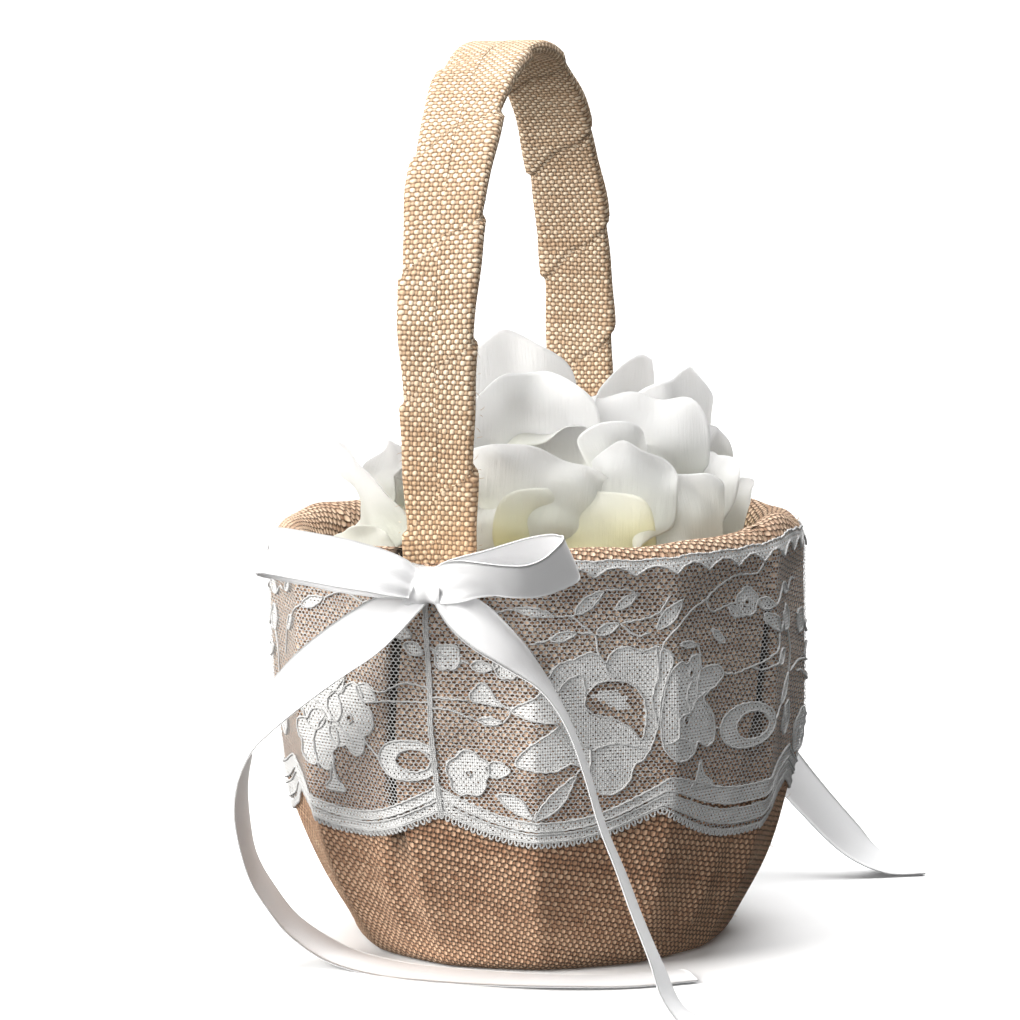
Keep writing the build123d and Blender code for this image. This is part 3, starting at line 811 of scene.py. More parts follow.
def leaf(start, end, width, lean=0.0):
    """Outline of a leaf from start to end."""
    start, end = np.array(start, float), np.array(end, float)
    axis = end - start
    side = np.array([-axis[1], axis[0]]) / np.linalg.norm(axis)
    t = np.linspace(0, 1, 12)
    bulge = np.sin(pi * t**0.85) * width / 2
    middle = start + axis * t[:, None] + side * (lean * np.sin(pi * t))[:, None]
    upper = middle + side * bulge[:, None]
    lower = middle - side * bulge[:, None]
    return np.concatenate([upper, lower[-2:0:-1]])


def oval(centre, width, height, count=28):
    t = np.linspace(0, 2 * pi, count, endpoint=False)
    return np.stack([centre[0] + width / 2 * np.cos(t), centre[1] + height / 2 * np.sin(t)], 1)


def blossom(centre, radius, petals, turn, pinch=0.22):
    t = np.linspace(0, 2 * pi, petals * 10, endpoint=False)
    r = radius * (1 - pinch + pinch * np.abs(np.cos(petals / 2 * (t - radians(turn))))**0.7)
    return np.stack([centre[0] + r * np.cos(t), centre[1] + r * np.sin(t)], 1)


def closed_curve(points, count=90):
    points = np.asarray(points, float)
    wrapped = np.concatenate([points[-3:], points, points[:3]])
    path = smooth_path(wrapped, count * 2)
    start = np.argmin(np.linalg.norm(path[:count] - points[0], axis=1))
    tail = path[start + count // 4:]
    stop = np.argmin(np.linalg.norm(tail - points[0], axis=1)) + start + count // 4
    return path[start:stop]


CLUSTER = [(19.1, 65), (25, 68.2), (27, 70.8), (29.6, 75), (34, 76.4), (37.5, 77.7), (40.2, 76.6), (41.4, 74.9),
           (43, 77.4), (46.5, 78.5), (50.6, 77.4), (54, 78.2), (57.4, 75.6), (56, 71), (54.6, 66), (53.8, 60),
           (52, 55), (50.4, 52.4), (48.3, 51), (47.2, 47.2), (43.6, 44.6), (40.1, 45), (37.5, 47.2), (36, 50.4),
           (33, 52.2), (29, 50.6), (24, 51), (19.7, 52.6), (23, 56.6), (28.4, 60), (29.8, 61.6), (25, 62.6)]
CRESCENT = [(36.5, 67.6), (39, 70.4), (42.7, 71), (47, 70.2), (50, 67.6), (51, 64), (50.8, 60), (49.7, 57),
            (47.4, 59.6), (43, 62.2), (38.4, 63.4), (36.4, 65.4)]
COMMA = [(38.0, 67.6), (41, 68.9), (44.4, 68.6), (46.6, 66.6), (46.9, 63.8), (44.8, 64.3), (42.4, 65.4), (40.6, 66.6)]
SPADE = [(9.4, 67.3), (10.1, 69.7), (12.3, 71.2), (14.2, 69.6), (15.4, 67.2), (17.4, 65.8), (12.8, 66.4)]
GREAT_BLOOM = [(0.2, 69.4), (1.2, 72.3), (3.9, 74.4), (6.0, 73.6), (7.8, 75.2), (10.4, 75.0), (10.8, 72.0),
               (13.6, 72.4), (16.8, 72.0), (18.3, 70.1), (16.0, 67.6), (12.9, 66.4), (11.3, 64.6), (13.8, 62.2),
               (15.6, 58.6), (15.2, 54.8), (12.7, 53.6), (9.6, 55.2), (8.4, 52.6), (5.4, 51.2), (1.9, 51.9),
               (-0.6, 55.0), (-1.3, 60.4), (-0.6, 65.6)]


def wave_one():
    """Cluster with a crescent window: (clothwork outlines, window outlines, cord lines)."""
    cloth = [closed_curve(CLUSTER, 190), closed_curve(SPADE, 50),
             blossom((7.9, 49.9), 5.6, 5, 90), leaf((12.2, 51.2), (18.8, 50.9), 4.0),
             leaf((15.0, 45.2), (23.6, 39.4), 3.4, 0.5), leaf((23.9, 39.2), (34.2, 49.6), 3.6, -0.6),
             blossom((4.6, 77.2), 3.2, 4, 45), leaf((9.6, 75.4), (15.2, 74.4), 2.6), blossom((18.2, 75.2), 3.3, 5, 90),
             leaf((20.2, 88.2), (29.6, 86.2), 1.9, 0.3), leaf((34.2, 86.4), (41.4, 91.8), 2.8),
             leaf((28.2, 81.0), (34.8, 82.4), 2.1), leaf((39.2, 81.8), (45.2, 84.0), 2.4),
             leaf((11.0, 62.6), (17.0, 62.0), 1.7), leaf((44.2, 87.4), (49.4, 90.6), 2.2)]
    windows = [closed_curve(CRESCENT, 90), oval((7.9, 49.9), 1.5, 1.5, 10), oval((17.4, 76.2), 1.6, 1.6, 10)]
    cords = [[(-7.5, 66.4), (0, 67.8), (5, 67.6), (9.1, 67.2)], [(15.4, 67.2), (19.1, 65)],
             [(0, 65.4), (5, 65.0), (8.5, 63.5), (11, 62.6)], [(17, 62), (18.4, 63.4), (19.1, 65)],
             [(7.6, 76.6), (9.6, 75.4)], [(0.5, 79.5), (4.6, 77.2)], [(15.2, 74.4), (16.4, 75)],
             [(14.5, 86.4), (17, 87.6), (20.2, 88.2)], [(29.6, 86.2), (33.3, 86.1), (36, 84), (38.9, 81.6)],
             [(33.3, 86.1), (34.2, 86.4)], [(41.4, 91.8), (47.5, 91.6), (49, 90)],
             [(23.6, 80.2), (28.2, 81.0)], [(34.8, 82.4), (38.9, 81.6), (39.4, 78.6), (40.2, 76.6)],
             [(45.2, 84), (53.6, 85.6), (57.0, 90.0)], [(45.2, 84), (49, 81), (52.5, 81.6)],
             [(23.6, 39.2), (24.6, 41.6)], [(34.2, 49.6), (35.6, 51.4)],
             [(37, 47.6), (37.6, 55), (34, 57), (29, 60.4)], [(37.6, 55), (44, 56.4), (51.5, 54.6)],
             [(29.8, 69), (32, 71.6), (35.6, 72.4), (36.5, 67.6)], [(41.4, 74.9), (41.8, 73), (44, 71.6)],
             [(53.8, 60), (52.6, 66), (54, 72), (53.6, 78)]]
    return cloth, windows, cords


def wave_two():
    """Great bloom, ring and thorn."""
    thorn = closed_curve([(8.0, 44.0), (9.9, 46.0), (11.0, 50.4), (12.2, 47.4), (15.8, 44.0)], 50)
    cloth = [closed_curve(GREAT_BLOOM, 170), thorn, oval((27.2, 56.8), 18.6, 10.6, 48),
             blossom((26.3, 86.0), 3.6, 5, 90), leaf((29.6, 85.8), (35.8, 84.2), 2.8),
             leaf((31.6, 82.6), (40.8, 77.4), 3.0), leaf((20.6, 85.6), (24.0, 82.6), 2.2),
             leaf((-1.8, 82.2), (4.6, 88.8), 3.2), leaf((4.0, 78.4), (9.8, 77.6), 1.6),
             leaf((37.4, 70.4), (45.2, 72.6), 3.2), leaf((41.0, 60.0), (49.0, 66.4), 3.4),
             blossom((49.6, 55.6), 4.2, 5, 60), leaf((42.4, 88.2), (50.6, 86.0), 2.6),
             blossom((47.2, 79.8), 3.2, 5, 20), leaf((14.6, 80.6), (19.0, 77.0), 2.0)]
    windows = [oval((29.0, 56.7), 10.8, 6.8, 26), oval((26.2, 85.8), 1.8, 1.8, 10), oval((5.4, 60.6), 1.8, 2.6, 10),
               oval((7.2, 71.2), 1.6, 2.0, 10), oval((49.6, 55.6), 1.5, 1.5, 10)]
    cords = [[(-1.6, 70.0), (-1.2, 76.2), (0.3, 79.7), (3.0, 82.3), (7.7, 86.0), (12.6, 87.9), (15.7, 89.9),
              (21.7, 92.6), (29.2, 92.5), (31.4, 94.8)],
             [(12.6, 87.9), (14.4, 84.9), (19.8, 85.8), (23.0, 86.2)], [(9.8, 77.7), (10.6, 74.6)],
             [(18.3, 70.1), (23, 69.6), (28.0, 70.4), (32, 69.4), (37.4, 70.4)],
             [(28.0, 70.4), (33.1, 71.6), (37.1, 73.9), (38.0, 77.6)], [(15.4, 57.4), (18.0, 57.4)],
             [(-0.4, 55.5), (2.9, 56.8), (3.3, 61.5), (6.6, 62.5), (8.8, 65.1), (12.6, 66.4)],
             [(3.3, 61.5), (0.8, 64.0), (-0.6, 65.6)], [(6.6, 62.5), (5.4, 66.6), (7.2, 69.6)],
             [(2.9, 56.8), (6.4, 55.6), (8.6, 52.9)], [(8.8, 65.1), (9.4, 69.0), (10.6, 72.0)],
             [(36.4, 57.0), (41.0, 60.0)], [(49.0, 66.4), (50.4, 72), (48.4, 76.8)], [(40.8, 77.4), (44.2, 79.4)],
             [(50.6, 86.0), (55.0, 88.2), (58.6, 87.9)], [(35.8, 84.2), (42.4, 88.2)]]
    return cloth, windows, cords


def wave_last():
    """The wave left of the seam: bloom, ring and the foot of the next flower."""
    cloth = [blossom((22.4, 67.0), 10.0, 6, 20, 0.34), blossom((33.6, 60.6), 8.8, 5, 75, 0.34),
             blossom((21.6, 54.6), 7.6, 5, 10, 0.34), leaf((36, 68.4), (44.0, 66.0), 4.2),
             oval((52.0, 52.6), 16.4, 9.4, 46), closed_curve([(22.0, 43.0), (24.4, 45.6), (26.0, 49.6),
             (27.0, 45.4), (29.6, 43.0)], 50), leaf((49.0, 83.4), (54.8, 81.6), 3.4), leaf((52.4, 79.8), (57.6, 77.6), 3.0),
             leaf((4.4, 79.4), (10.6, 82.6), 3.0), blossom((3.6, 66.0), 4.0, 5, 60), leaf((33.0, 80.4), (40.0, 82.8), 2.8),
             leaf((17.4, 86.2), (25.2, 88.4), 2.6), leaf((39.6, 88.4), (45.6, 86.6), 2.2), leaf((2.0, 88.4), (8.6, 90.0), 2.2)]
    windows = [oval((53.4, 52.6), 8.4, 5.4, 24), oval((22.4, 67.0), 2.6, 2.6, 12), oval((33.6, 60.6), 2.2, 2.2, 12)]
    cords = [[(43.0, 65.4), (47.0, 66.2), (51.8, 66.4), (58.6, 66.6)], [(40.2, 68.4), (46.0, 68.2), (52.0, 70.6),
              (58.6, 70.0)], [(20.6, 47.4), (20.0, 54.0), (22.6, 58.6), (24.6, 60.6)], [(34.6, 55.0), (30.0, 58.6),
              (26.0, 61.0)], [(31.4, 69.6), (28.4, 66.6), (25.4, 64.6)], [(12.4, 68.4), (17.0, 66.0), (23.0, 63.4)],
             [(43.8, 52.6), (39.6, 55.6), (36.6, 59.0)], [(10.6, 82.6), (17.4, 86.2)], [(25.2, 88.4), (33, 90.4),
              (39.6, 88.4)], [(45.6, 86.6), (49.0, 83.4)], [(25.4, 76.4), (29.6, 79.4), (33.0, 80.4)],
             [(40.0, 82.8), (44.0, 81.0), (49.0, 83.4)], [(0.6, 72.4), (4.4, 79.4)]]
    return cloth, windows, cords


def inside(points, outline):
    """Which of the points lie inside a closed outline."""
    x, y = points[:, 0], points[:, 1]
    result = np.zeros(len(points), bool)
    x1, y1 = outline[:, 0], outline[:, 1]
    x2, y2 = np.roll(x1, -1), np.roll(y1, -1)
    low, high = outline.min(0), outline.max(0)
    near = (x >= low[0]) & (x <= high[0]) & (y >= low[1]) & (y <= high[1])
    px, py = x[near][:, None], y[near][:, None]
    crosses = ((y1 > py) != (y2 > py)) & (px < (x2 - x1) * (py - y1) / (y2 - y1 + 1e-12) + x1)
    result[near] = crosses.sum(1) % 2 == 1
    return result


def lace_pattern():
    """All outlines and cords of the band, in place."""
    order = (wave_one(), wave_two(), wave_one(), wave_two(), wave_one(), wave_two(), wave_last())
    later = (LACE_LENGTH - FIRST_WAVE) / (WAVES - 1)
    cloth, windows, cords = [], [], []
    for k, kind in enumerate(order):
        shift = np.array([0.0 if k == 0 else FIRST_WAVE + (k - 1) * later, 0.0])
        cloth += [c + shift for c in kind[0]]
        windows += [w + shift for w in kind[1]]
        cords += [smooth_path(np.array(c, float) + shift, max(6, len(c) * 7)) for c in kind[2]]
    return cloth, windows, cords


def make_lace():
    cloth, windows, cords = lace_pattern()
    columns = int(round(LACE_LENGTH / CELL))
    rows = int((upper_edge(0) + 1.0 - 30.0) / CELL_ROW)
    col, row = np.meshgrid(np.arange(columns), np.arange(rows), indexing="ij")
    centre_s = (col + 0.5 * (row % 2)) * CELL
    centre_z = 30.4 + row * CELL_ROW
    centres = np.stack([centre_s.ravel(), centre_z.ravel()], 1)
    s, z = centres[:, 0], centres[:, 1]
    depth = band_depth(s, z)
    dense = np.zeros(len(s), bool)
    for outline in cloth:
        dense |= inside(centres, outline)
    for outline in windows:
        dense &= ~inside(centres, outline)
    inset = depth / border_width(s)              # 0 at the edge, 12 at the border's upper cord
    for k in (0, 2, 4):
        shift = np.array([0.0 if k == 0 else FIRST_WAVE + (k - 1) * (LACE_LENGTH - FIRST_WAVE) / (WAVES - 1), 0.0])
        dense |= inside(centres, np.array(COMMA) + shift)
    dense |= z > top_band_edge(s)
    dense |= (inset > 2.9) & (inset < 11.8)
    slit = (inset > 6.6) & (inset < 7.6) & (wave_place(s)[1] > 0.07) & (wave_place(s)[1] < 0.93)
    missing = (depth < 1.1) | (z > upper_edge(s)) | slit
    dense &= ~missing
    net = ~dense & ~missing
    # stretched hexagon: width CELL, rows CELL_ROW apart
    corner = np.array([(0, 2 / 3), (0.5, 1 / 3), (0.5, -1 / 3), (0, -2 / 3), (-0.5, -1 / 3), (-0.5, 1 / 3)])
    corner = corner * np.array([CELL, CELL_ROW])
    halves = ((0, LACE_LENGTH / 2, "front"), (LACE_LENGTH / 2, LACE_LENGTH + 1, "back"))
    for start, stop, label in halves:
        here = (s >= start) & (s < stop)
        net_c, dense_c = centres[net & here], centres[dense & here]
        jitter = rng.uniform(-0.05, 0.05, (len(net_c), 1, 2))
        outer = net_c[:, None, :] + corner[None]
        inner = net_c[:, None, :] + corner[None] * NET_HOLE + jitter
        holes = rng.uniform(0.22, 0.42, (len(dense_c), 1, 1))
        solid = dense_c[:, None, :] + corner[None]
        solid_inner = dense_c[:, None, :] + corner[None] * holes
        flat = np.concatenate([outer.reshape(-1, 2), solid.reshape(-1, 2)])
        shared, index = np.unique(np.round(flat / 0.01).astype(np.int64), axis=0, return_inverse=True)
        index = index.ravel()
        outer_index = index[:len(net_c) * 6].reshape(-1, 6)
        solid_index = index[len(net_c) * 6:].reshape(-1, 6)
        inner_index = len(shared) + np.arange(len(net_c) * 6).reshape(-1, 6)
        hole_index = len(shared) + len(net_c) * 6 + np.arange(len(dense_c) * 6).reshape(-1, 6)
        all_flat = np.concatenate([shared * 0.01, inner.reshape(-1, 2), solid_inner.reshape(-1, 2)])
        points = lace_point(all_flat[:, 0], all_flat[:, 1], 0.45)

        def frames(outside, within):
            return np.concatenate([np.stack([outside[:, k], outside[:, (k + 1) % 6], within[:, (k + 1) % 6],
                                             within[:, k]], 1) for k in range(6)])

        quads = np.concatenate([frames(outer_index, inner_index), frames(solid_index, hole_index)])
        piece = new_mesh(f"lace_{label}", points, quads, LACE_NET, uv=all_flat[quads].reshape(-1, 2))
        piece.data.materials.append(LACE_CLOTH)
        material_index = np.repeat(np.array([0, 1], np.int32), [len(net_c) * 6, len(dense_c) * 6])
        piece.data.polygons.foreach_set("material_index", material_index)
        place(piece, "basket", "lace", "lace_band")
    make_lace_cords(cloth, windows, cords)


def make_lace_cords(cloth, windows, cords):
    """Raised cords along motif edges, borders and vines, with the picots and the seam."""
    lines = []
    for outline in cloth + windows:
        closed = np.concatenate([outline, outline[:2]])
        if closed[:, 0].min() < LACE_LENGTH:
            count = max(8, int(np.linalg.norm(np.diff(closed, axis=0), axis=1).sum() / 0.85))
            lines.append(smooth_path(closed, count))
    lines += [c for c in cords if c[:, 0].min() < LACE_LENGTH]
    along = np.arange(0, LACE_LENGTH + 0.5, 0.8)
    slope = (lower_edge(along + 0.4) - lower_edge(along - 0.4)) / 0.8
    steep = np.sqrt(1 + slope**2)
    for inset in (2.9, 6.4, 7.8, 11.8):
        lines.append(np.stack([along, lower_edge(along) + inset * border_width(along) * steep], 1))
    lines.append(np.stack([along, lower_edge(along) + 1.2 * steep], 1))
    lines.append(np.stack([along, top_band_edge(along)], 1))
    lines.append(np.stack([along, upper_edge(along)], 1))
    for s in np.arange(0.8, LACE_LENGTH, 1.55):
        base = float(lower_edge(s)) + 1.2
        slope = float(lower_edge(s + 0.3) - lower_edge(s - 0.3)) / 0.6
        t = np.linspace(-0.35 * pi, 1.35 * pi, 8)
        local = np.stack([0.52 * np.cos(t), -0.95 * (0.4 + np.sin(t))], 1)
        norm = sqrt(1 + slope * slope)
        lines.append(np.stack([s + (local[:, 0] - local[:, 1] * slope) / norm,
                               base + (local[:, 0] * slope + local[:, 1]) / norm], 1))

    def outward(path):
        return unit(path * np.array([1.0, 1.0, 0.0]))

    shaken = []
    for line in lines:
        wobble = 0.10 * np.stack([np.sin(line[:, 1] * 2.3 + line[:, 0]), np.cos(line[:, 0] * 2.7)], 1)
        kept = line + wobble
        kept = kept[(kept[:, 0] > -0.8) & (kept[:, 0] < LACE_LENGTH + 0.8)]
        if len(kept) > 3:
            shaken.append(lace_point(kept[:, 0], kept[:, 1], 0.62))
    points, faces = tubes(shaken, 0.25, 5, outward)
    uv = np.zeros((faces.size, 2))
    uv[:, 0] = points[faces.ravel()][:, 0]
    uv[:, 1] = points[faces.ravel()][:, 2]
    piece = new_mesh("lace_cords", points, faces, LACE_CORD, uv=uv)
    place(piece, "basket", "lace")
    seam_z = np.linspace(39, 98, 90)
    seam = [np.stack([shift + 0.35 * np.sin(seam_z / 5.0) + 0.12 * np.sin(seam_z * 2.2), seam_z], 1)
            for shift in (0.0, 0.45, -0.5)]
    points, faces = tubes([lace_point(line[:, 0], line[:, 1], 0.72) for line in seam], 0.24, 6, outward)
    uv = points[faces.ravel()][:, [0, 2]]
    place(new_mesh("lace_seam", points, faces, LACE_CORD, uv=uv), "basket", "lace")


# ---------------------------------------------------------------- satin ribbons
def ribbon(name, route, widths, length_steps, node, width=RIBBON_WIDTH, thickness=0.28, curl=0.5):
    """A satin strip along a route; widths gives the direction across the ribbon at each route point."""
    both = smooth_path(np.concatenate([np.asarray(route, float), np.asarray(widths, float)], 1), length_steps)
    path, across = both[:, :3], both[:, 3:6]
    squeeze = both[:, 6] if both.shape[1] > 6 else np.ones(len(path))
    along = unit(np.gradient(path, axis=0))
    across = unit(across - along * np.sum(across * along, 1, keepdims=True))
    face = np.cross(along, across)
    columns = 13
    w = np.linspace(-0.5, 0.5, columns)
    bow = curl * (np.cos(w * pi * 1.15) - 0.6)
    pleat = 0.9 * (1 - squeeze)[:, None] * np.cos(w * pi * 5)[None, :]
    points = (path[:, None, :] + (w[None, :] * width * squeeze[:, None])[..., None] * across[:, None, :]
              + (bow[None, :] * squeeze[:, None] + pleat)[..., None] * face[:, None, :])
    verts, faces = thick_sheet(points, thickness)
    length = float(np.linalg.norm(np.diff(path, axis=0), axis=1).sum())
    uv = grid_uv(faces, length_steps, columns, length, width)
    piece = new_mesh(name, verts, faces, SATIN, uv=uv)
    place(piece, "basket", "satin", node)
    return piece


def knot_shape(name, centre, side, node):
    """The ribbon's middle wrap, pinched round the loops, with soft folds."""
    rows, columns = 26, 40
    t = np.linspace(0, 2 * pi, columns, endpoint=False)
    v = np.linspace(-1, 1, rows)
    fold = 0.22 * np.cos(v * pi * 2.3 + 0.5)[:, None] * (0.4 + 0.6 * np.abs(np.cos(t))[None, :])
    high = np.sign(np.sin(t)) * np.abs(np.sin(t))**0.7
    deep = np.sign(np.cos(t)) * np.abs(np.cos(t))**0.7
    x = v[:, None] * 4.3 + 0.4 * np.sin(t)[None, :]
    flare = 1 + 0.10 * np.abs(v)[:, None]
    y = (4.0 + fold) * deep[None, :] * flare
    z = (4.0 + fold) * high[None, :] * flare
    points = np.stack([centre[0] + x, centre[1] * side - y * side, centre[2] + z], -1)
    faces, ci, cj = grid_faces(rows, columns, close_columns=True)
    uv = np.stack([(ci / (rows - 1)) * 9.2 + 1.4, cj / columns * 24], -1)
    body = new_mesh(name, points, faces, SATIN, uv=uv)
    place(body, "basket", "satin", node)


UP = (0, 0, 1)
# route points (x, y, z), the ribbon's across direction and its squeeze, knot first
FRONT_LEFT_TAIL = [
    ((-7.3, -69.5, 92.3), (-0.66, 0.50, 0.56), 0.55), ((-12.8, -72.5, 88.5), (-0.63, 0.38, 0.68), 0.85),
    ((-19.5, -74.1, 83.5), (-0.58, 0.28, 0.76), 1.0), ((-27.6, -74.6, 78.0), (-0.56, 0.32, 0.77), 1.0),
    ((-36.3, -73.6, 71.2), (-0.50, 0.49, 0.72), 1.0), ((-43.5, -71.0, 64.4), (-0.36, 0.69, 0.63), 1.0),
    ((-48.5, -67.8, 57.9), (-0.16, 0.85, 0.51), 1.0), ((-52.4, -64.1, 49.9), (-0.02, 0.90, 0.44), 1.0),
    ((-55.2, -59.9, 41.5), (-0.04, 0.89, 0.45), 1.0), ((-56.1, -55.5, 32.4), (-0.12, 0.89, 0.44), 1.0),
    ((-55.7, -51.2, 23.6), (-0.20, 0.90, 0.38), 1.0), ((-52.8, -47.9, 16.1), (-0.19, 0.94, 0.27), 1.0),
    ((-47.9, -45.4, 8.8), (-0.10, 0.98, 0.14), 1.0), ((-38.3, -44.5, 2.8), (0.12, 0.99, 0.07), 1.0),
    ((-25.3, -47.7, 0.7), (0.25, 0.97, 0.06), 1.0), ((-10.7, -51.6, 0.7), (0.19, 0.98, 0.05), 1.0),
    ((4.7, -53.4, 0.9), (0.07, 1.00, 0.03), 1.0), ((19.2, -53.7, 1.2), (-0.13, 0.99, 0.00), 1.0),
    ((33.6, -49.6, 1.0), (-0.41, 0.91, 0.00), 1.0), ((47.0, -41.4, 1.1), (-0.52, 0.85, 0.00), 1.0)]
FRONT_RIGHT_TAIL = [
    ((-2.5, -69.8, 92.6), (0.47, 0.87, 0.17), 0.55), ((3.4, -72.2, 88.7), (0.52, 0.72, 0.46), 0.85),
    ((8.8, -72.8, 84.4), (0.37, 0.82, 0.43), 1.0), ((15.7, -72.6, 78.9), (0.18, 0.95, 0.24), 1.0),
    ((22.6, -72.3, 72.3), (-0.05, 1.00, -0.04), 1.0), ((27.9, -72.6, 63.9), (-0.15, 0.98, -0.13), 1.0),
    ((32.1, -73.4, 53.3), (-0.15, 0.98, -0.15), 1.0), ((35.9, -74.7, 41.8), (-0.13, 0.98, -0.18), 1.0),
    ((40.3, -76.1, 32.1), (-0.07, 0.97, -0.23), 1.0), ((44.6, -78.6, 22.7), (-0.03, 0.96, -0.27), 1.0),
    ((49.5, -81.3, 13.0), (0.03, 0.95, -0.30), 1.0), ((54.0, -84.4, 4.8), (0.15, 0.94, -0.30), 1.0),
    ((61.4, -87.0, 1.0), (0.25, 0.97, -0.00), 1.0), ((70.4, -88.6, 0.8), (0.18, 0.98, -0.00), 1.0)]
BACK_RIGHT_TAIL = [
    ((-2.4, 69.8, 92.6), (0.15, 0.86, 0.49), 0.55), ((3.4, 72.0, 87.0), (0.40, 0.74, 0.54), 0.85),
    ((9.4, 72.8, 79.8), (0.53, 0.70, 0.49), 1.0), ((18.0, 74.0, 68.4), (0.55, 0.70, 0.46), 1.0),
    ((26.6, 74.8, 56.4), (0.57, 0.70, 0.43), 1.0), ((35.0, 75.6, 43.4), (0.57, 0.70, 0.43), 1.0),
    ((43.4, 76.6, 31.0), (0.51, 0.73, 0.45), 1.0), ((52.0, 77.8, 20.4), (0.38, 0.80, 0.47), 1.0),
    ((61.0, 80.4, 10.2), (0.18, 0.85, 0.49), 1.0), ((69.0, 83.8, 3.6), (-0.26, 0.91, 0.31), 1.0),
    ((78.0, 88.4, 1.0), (-0.46, 0.89, 0.00), 1.0)]
BACK_LEFT_TAIL = [
    ((-7.6, 69.6, 92.4), (0.5, 0.35, 0.9), 0.55), ((-12.6, 73.0, 85.6), (0.7, 0.3, 0.6), 0.85),
    ((-16.4, 75.0, 78.6), (0.85, 0.25, 0.4), 1.0), ((-20.2, 76.4, 69.4), (0.93, 0.2, 0.25), 1.0),
    ((-22.4, 77.4, 57.8), (0.97, 0.1, 0.05), 1.0), ((-22.6, 78.2, 45.4), (0.98, 0.05, 0.0), 1.0),
    ((-20.8, 79, 33.2), (0.96, 0.1, -0.1), 1.0), ((-17.4, 80.2, 21.6), (0.92, 0.1, -0.25), 1.0),
    ((-12.8, 82.8, 11.2), (0.88, 0.0, -0.30), 1.0), ((-7, 87.4, 3.8), (0.80, -0.5, -0.1), 1.0),
    ((1, 93, 1.0), (0.55, -0.83, 0.0), 1.0), ((11.4, 97.4, 0.8), (0.40, -0.92, 0.0), 1.0)]
# each loop leaves the knot along its near side, turns at the far end and comes back behind
LEFT_LOOP = [
    ((-7.5, -74.0, 94.9), (0.05, 0.20, 0.98), 0.60), ((-10.5, -76.1, 96.6), (0.00, 0.35, 0.93), 0.78),
    ((-15.2, -78.3, 98.3), (-0.02, 0.54, 0.84), 0.93), ((-21.5, -80.3, 99.9), (-0.02, 0.54, 0.84), 1.00),
    ((-28.2, -81.4, 101.2), (0.06, 0.55, 0.83), 1.00), ((-34.0, -81.8, 102.2), (0.14, 0.57, 0.81), 1.00),
    ((-37.9, -81.5, 102.7), (0.21, 0.58, 0.79), 1.00), ((-39.8, -80.2, 102.5), (0.21, 0.58, 0.79), 1.00),
    ((-39.1, -78.3, 101.9), (0.21, 0.58, 0.79), 1.00), ((-35.9, -76.6, 100.8), (0.14, 0.57, 0.81), 1.00),
    ((-30.6, -74.8, 99.6), (0.06, 0.55, 0.83), 1.00), ((-24.0, -73.3, 98.1), (-0.02, 0.54, 0.84), 1.00),
    ((-17.2, -72.2, 96.7), (-0.02, 0.54, 0.84), 0.93), ((-11.9, -71.9, 95.7), (0.00, 0.35, 0.93), 0.78),
    ((-8.1, -72.1, 94.4), (0.05, 0.20, 0.98), 0.60)]
RIGHT_LOOP = [
    ((-3.0, -73.2, 93.9), (0.00, -0.10, 1.00), 0.60), ((0.9, -75.2, 95.1), (0.05, -0.35, 0.93), 0.78),
    ((5.8, -77.4, 96.4), (0.10, -0.60, 0.79), 0.92), ((10.8, -78.7, 96.6), (0.12, -0.72, 0.68), 1.00),
    ((15.5, -78.8, 96.2), (0.12, -0.72, 0.68), 1.00), ((19.8, -77.8, 96.1), (0.12, -0.72, 0.68), 1.00),
    ((23.6, -75.6, 97.0), (0.04, -0.70, 0.70), 1.00), ((26.2, -72.8, 98.6), (-0.06, -0.68, 0.72), 1.00),
    ((27.7, -69.7, 100.1), (-0.13, -0.66, 0.74), 1.00), ((27.3, -67.3, 101.1), (-0.13, -0.66, 0.74), 1.00),
    ((25.1, -66.0, 101.9), (-0.06, -0.68, 0.72), 1.00), ((21.6, -66.0, 101.9), (0.04, -0.70, 0.70), 1.00),
    ((17.2, -66.9, 101.3), (0.12, -0.72, 0.68), 1.00), ((12.9, -68.1, 100.1), (0.12, -0.72, 0.68), 1.00),
    ((8.5, -69.4, 98.6), (0.12, -0.68, 0.72), 0.98), ((4.1, -70.2, 97.1), (0.10, -0.55, 0.82), 0.90),
    ((-0.0, -70.8, 95.5), (0.05, -0.30, 0.95), 0.76), ((-3.6, -71.3, 93.9), (0.00, -0.10, 1.00), 0.60)]


def from_table(rows, side=1):
    """Route and widths of a ribbon; side -1 puts it at the back foot."""
    flip = np.array([1.0, side, 1.0])
    route = np.array([r[0] for r in rows]) * flip
    widths = np.array([np.append(np.array(r[1]) * flip, r[2]) for r in rows])
    return route, widths


def make_bows():
    tails = (("front_tail_left", FRONT_LEFT_TAIL, 190), ("front_tail_right", FRONT_RIGHT_TAIL, 130),
             ("back_tail_right", BACK_RIGHT_TAIL, 120), ("back_tail_left", BACK_LEFT_TAIL, 120))
    for node, rows, steps in tails:
        route, widths = from_table(rows)
        ribbon(node + "_ribbon", route, widths, steps, node)
    for label, side in (("front", 1), ("back", -1)):
        knot_shape(f"{label}_knot_ribbon", (HANDLE_X - 0.6, -70.2, 94.2), side, f"{label}_bow_knot")
        for way, rows in (("left", LEFT_LOOP), ("right", RIGHT_LOOP)):
            route, widths = from_table(rows, side)
            ribbon(f"{label}_loop_{way}_ribbon", route, widths, 90, f"{label}_bow_loop_{way}",
                   curl=0.35)


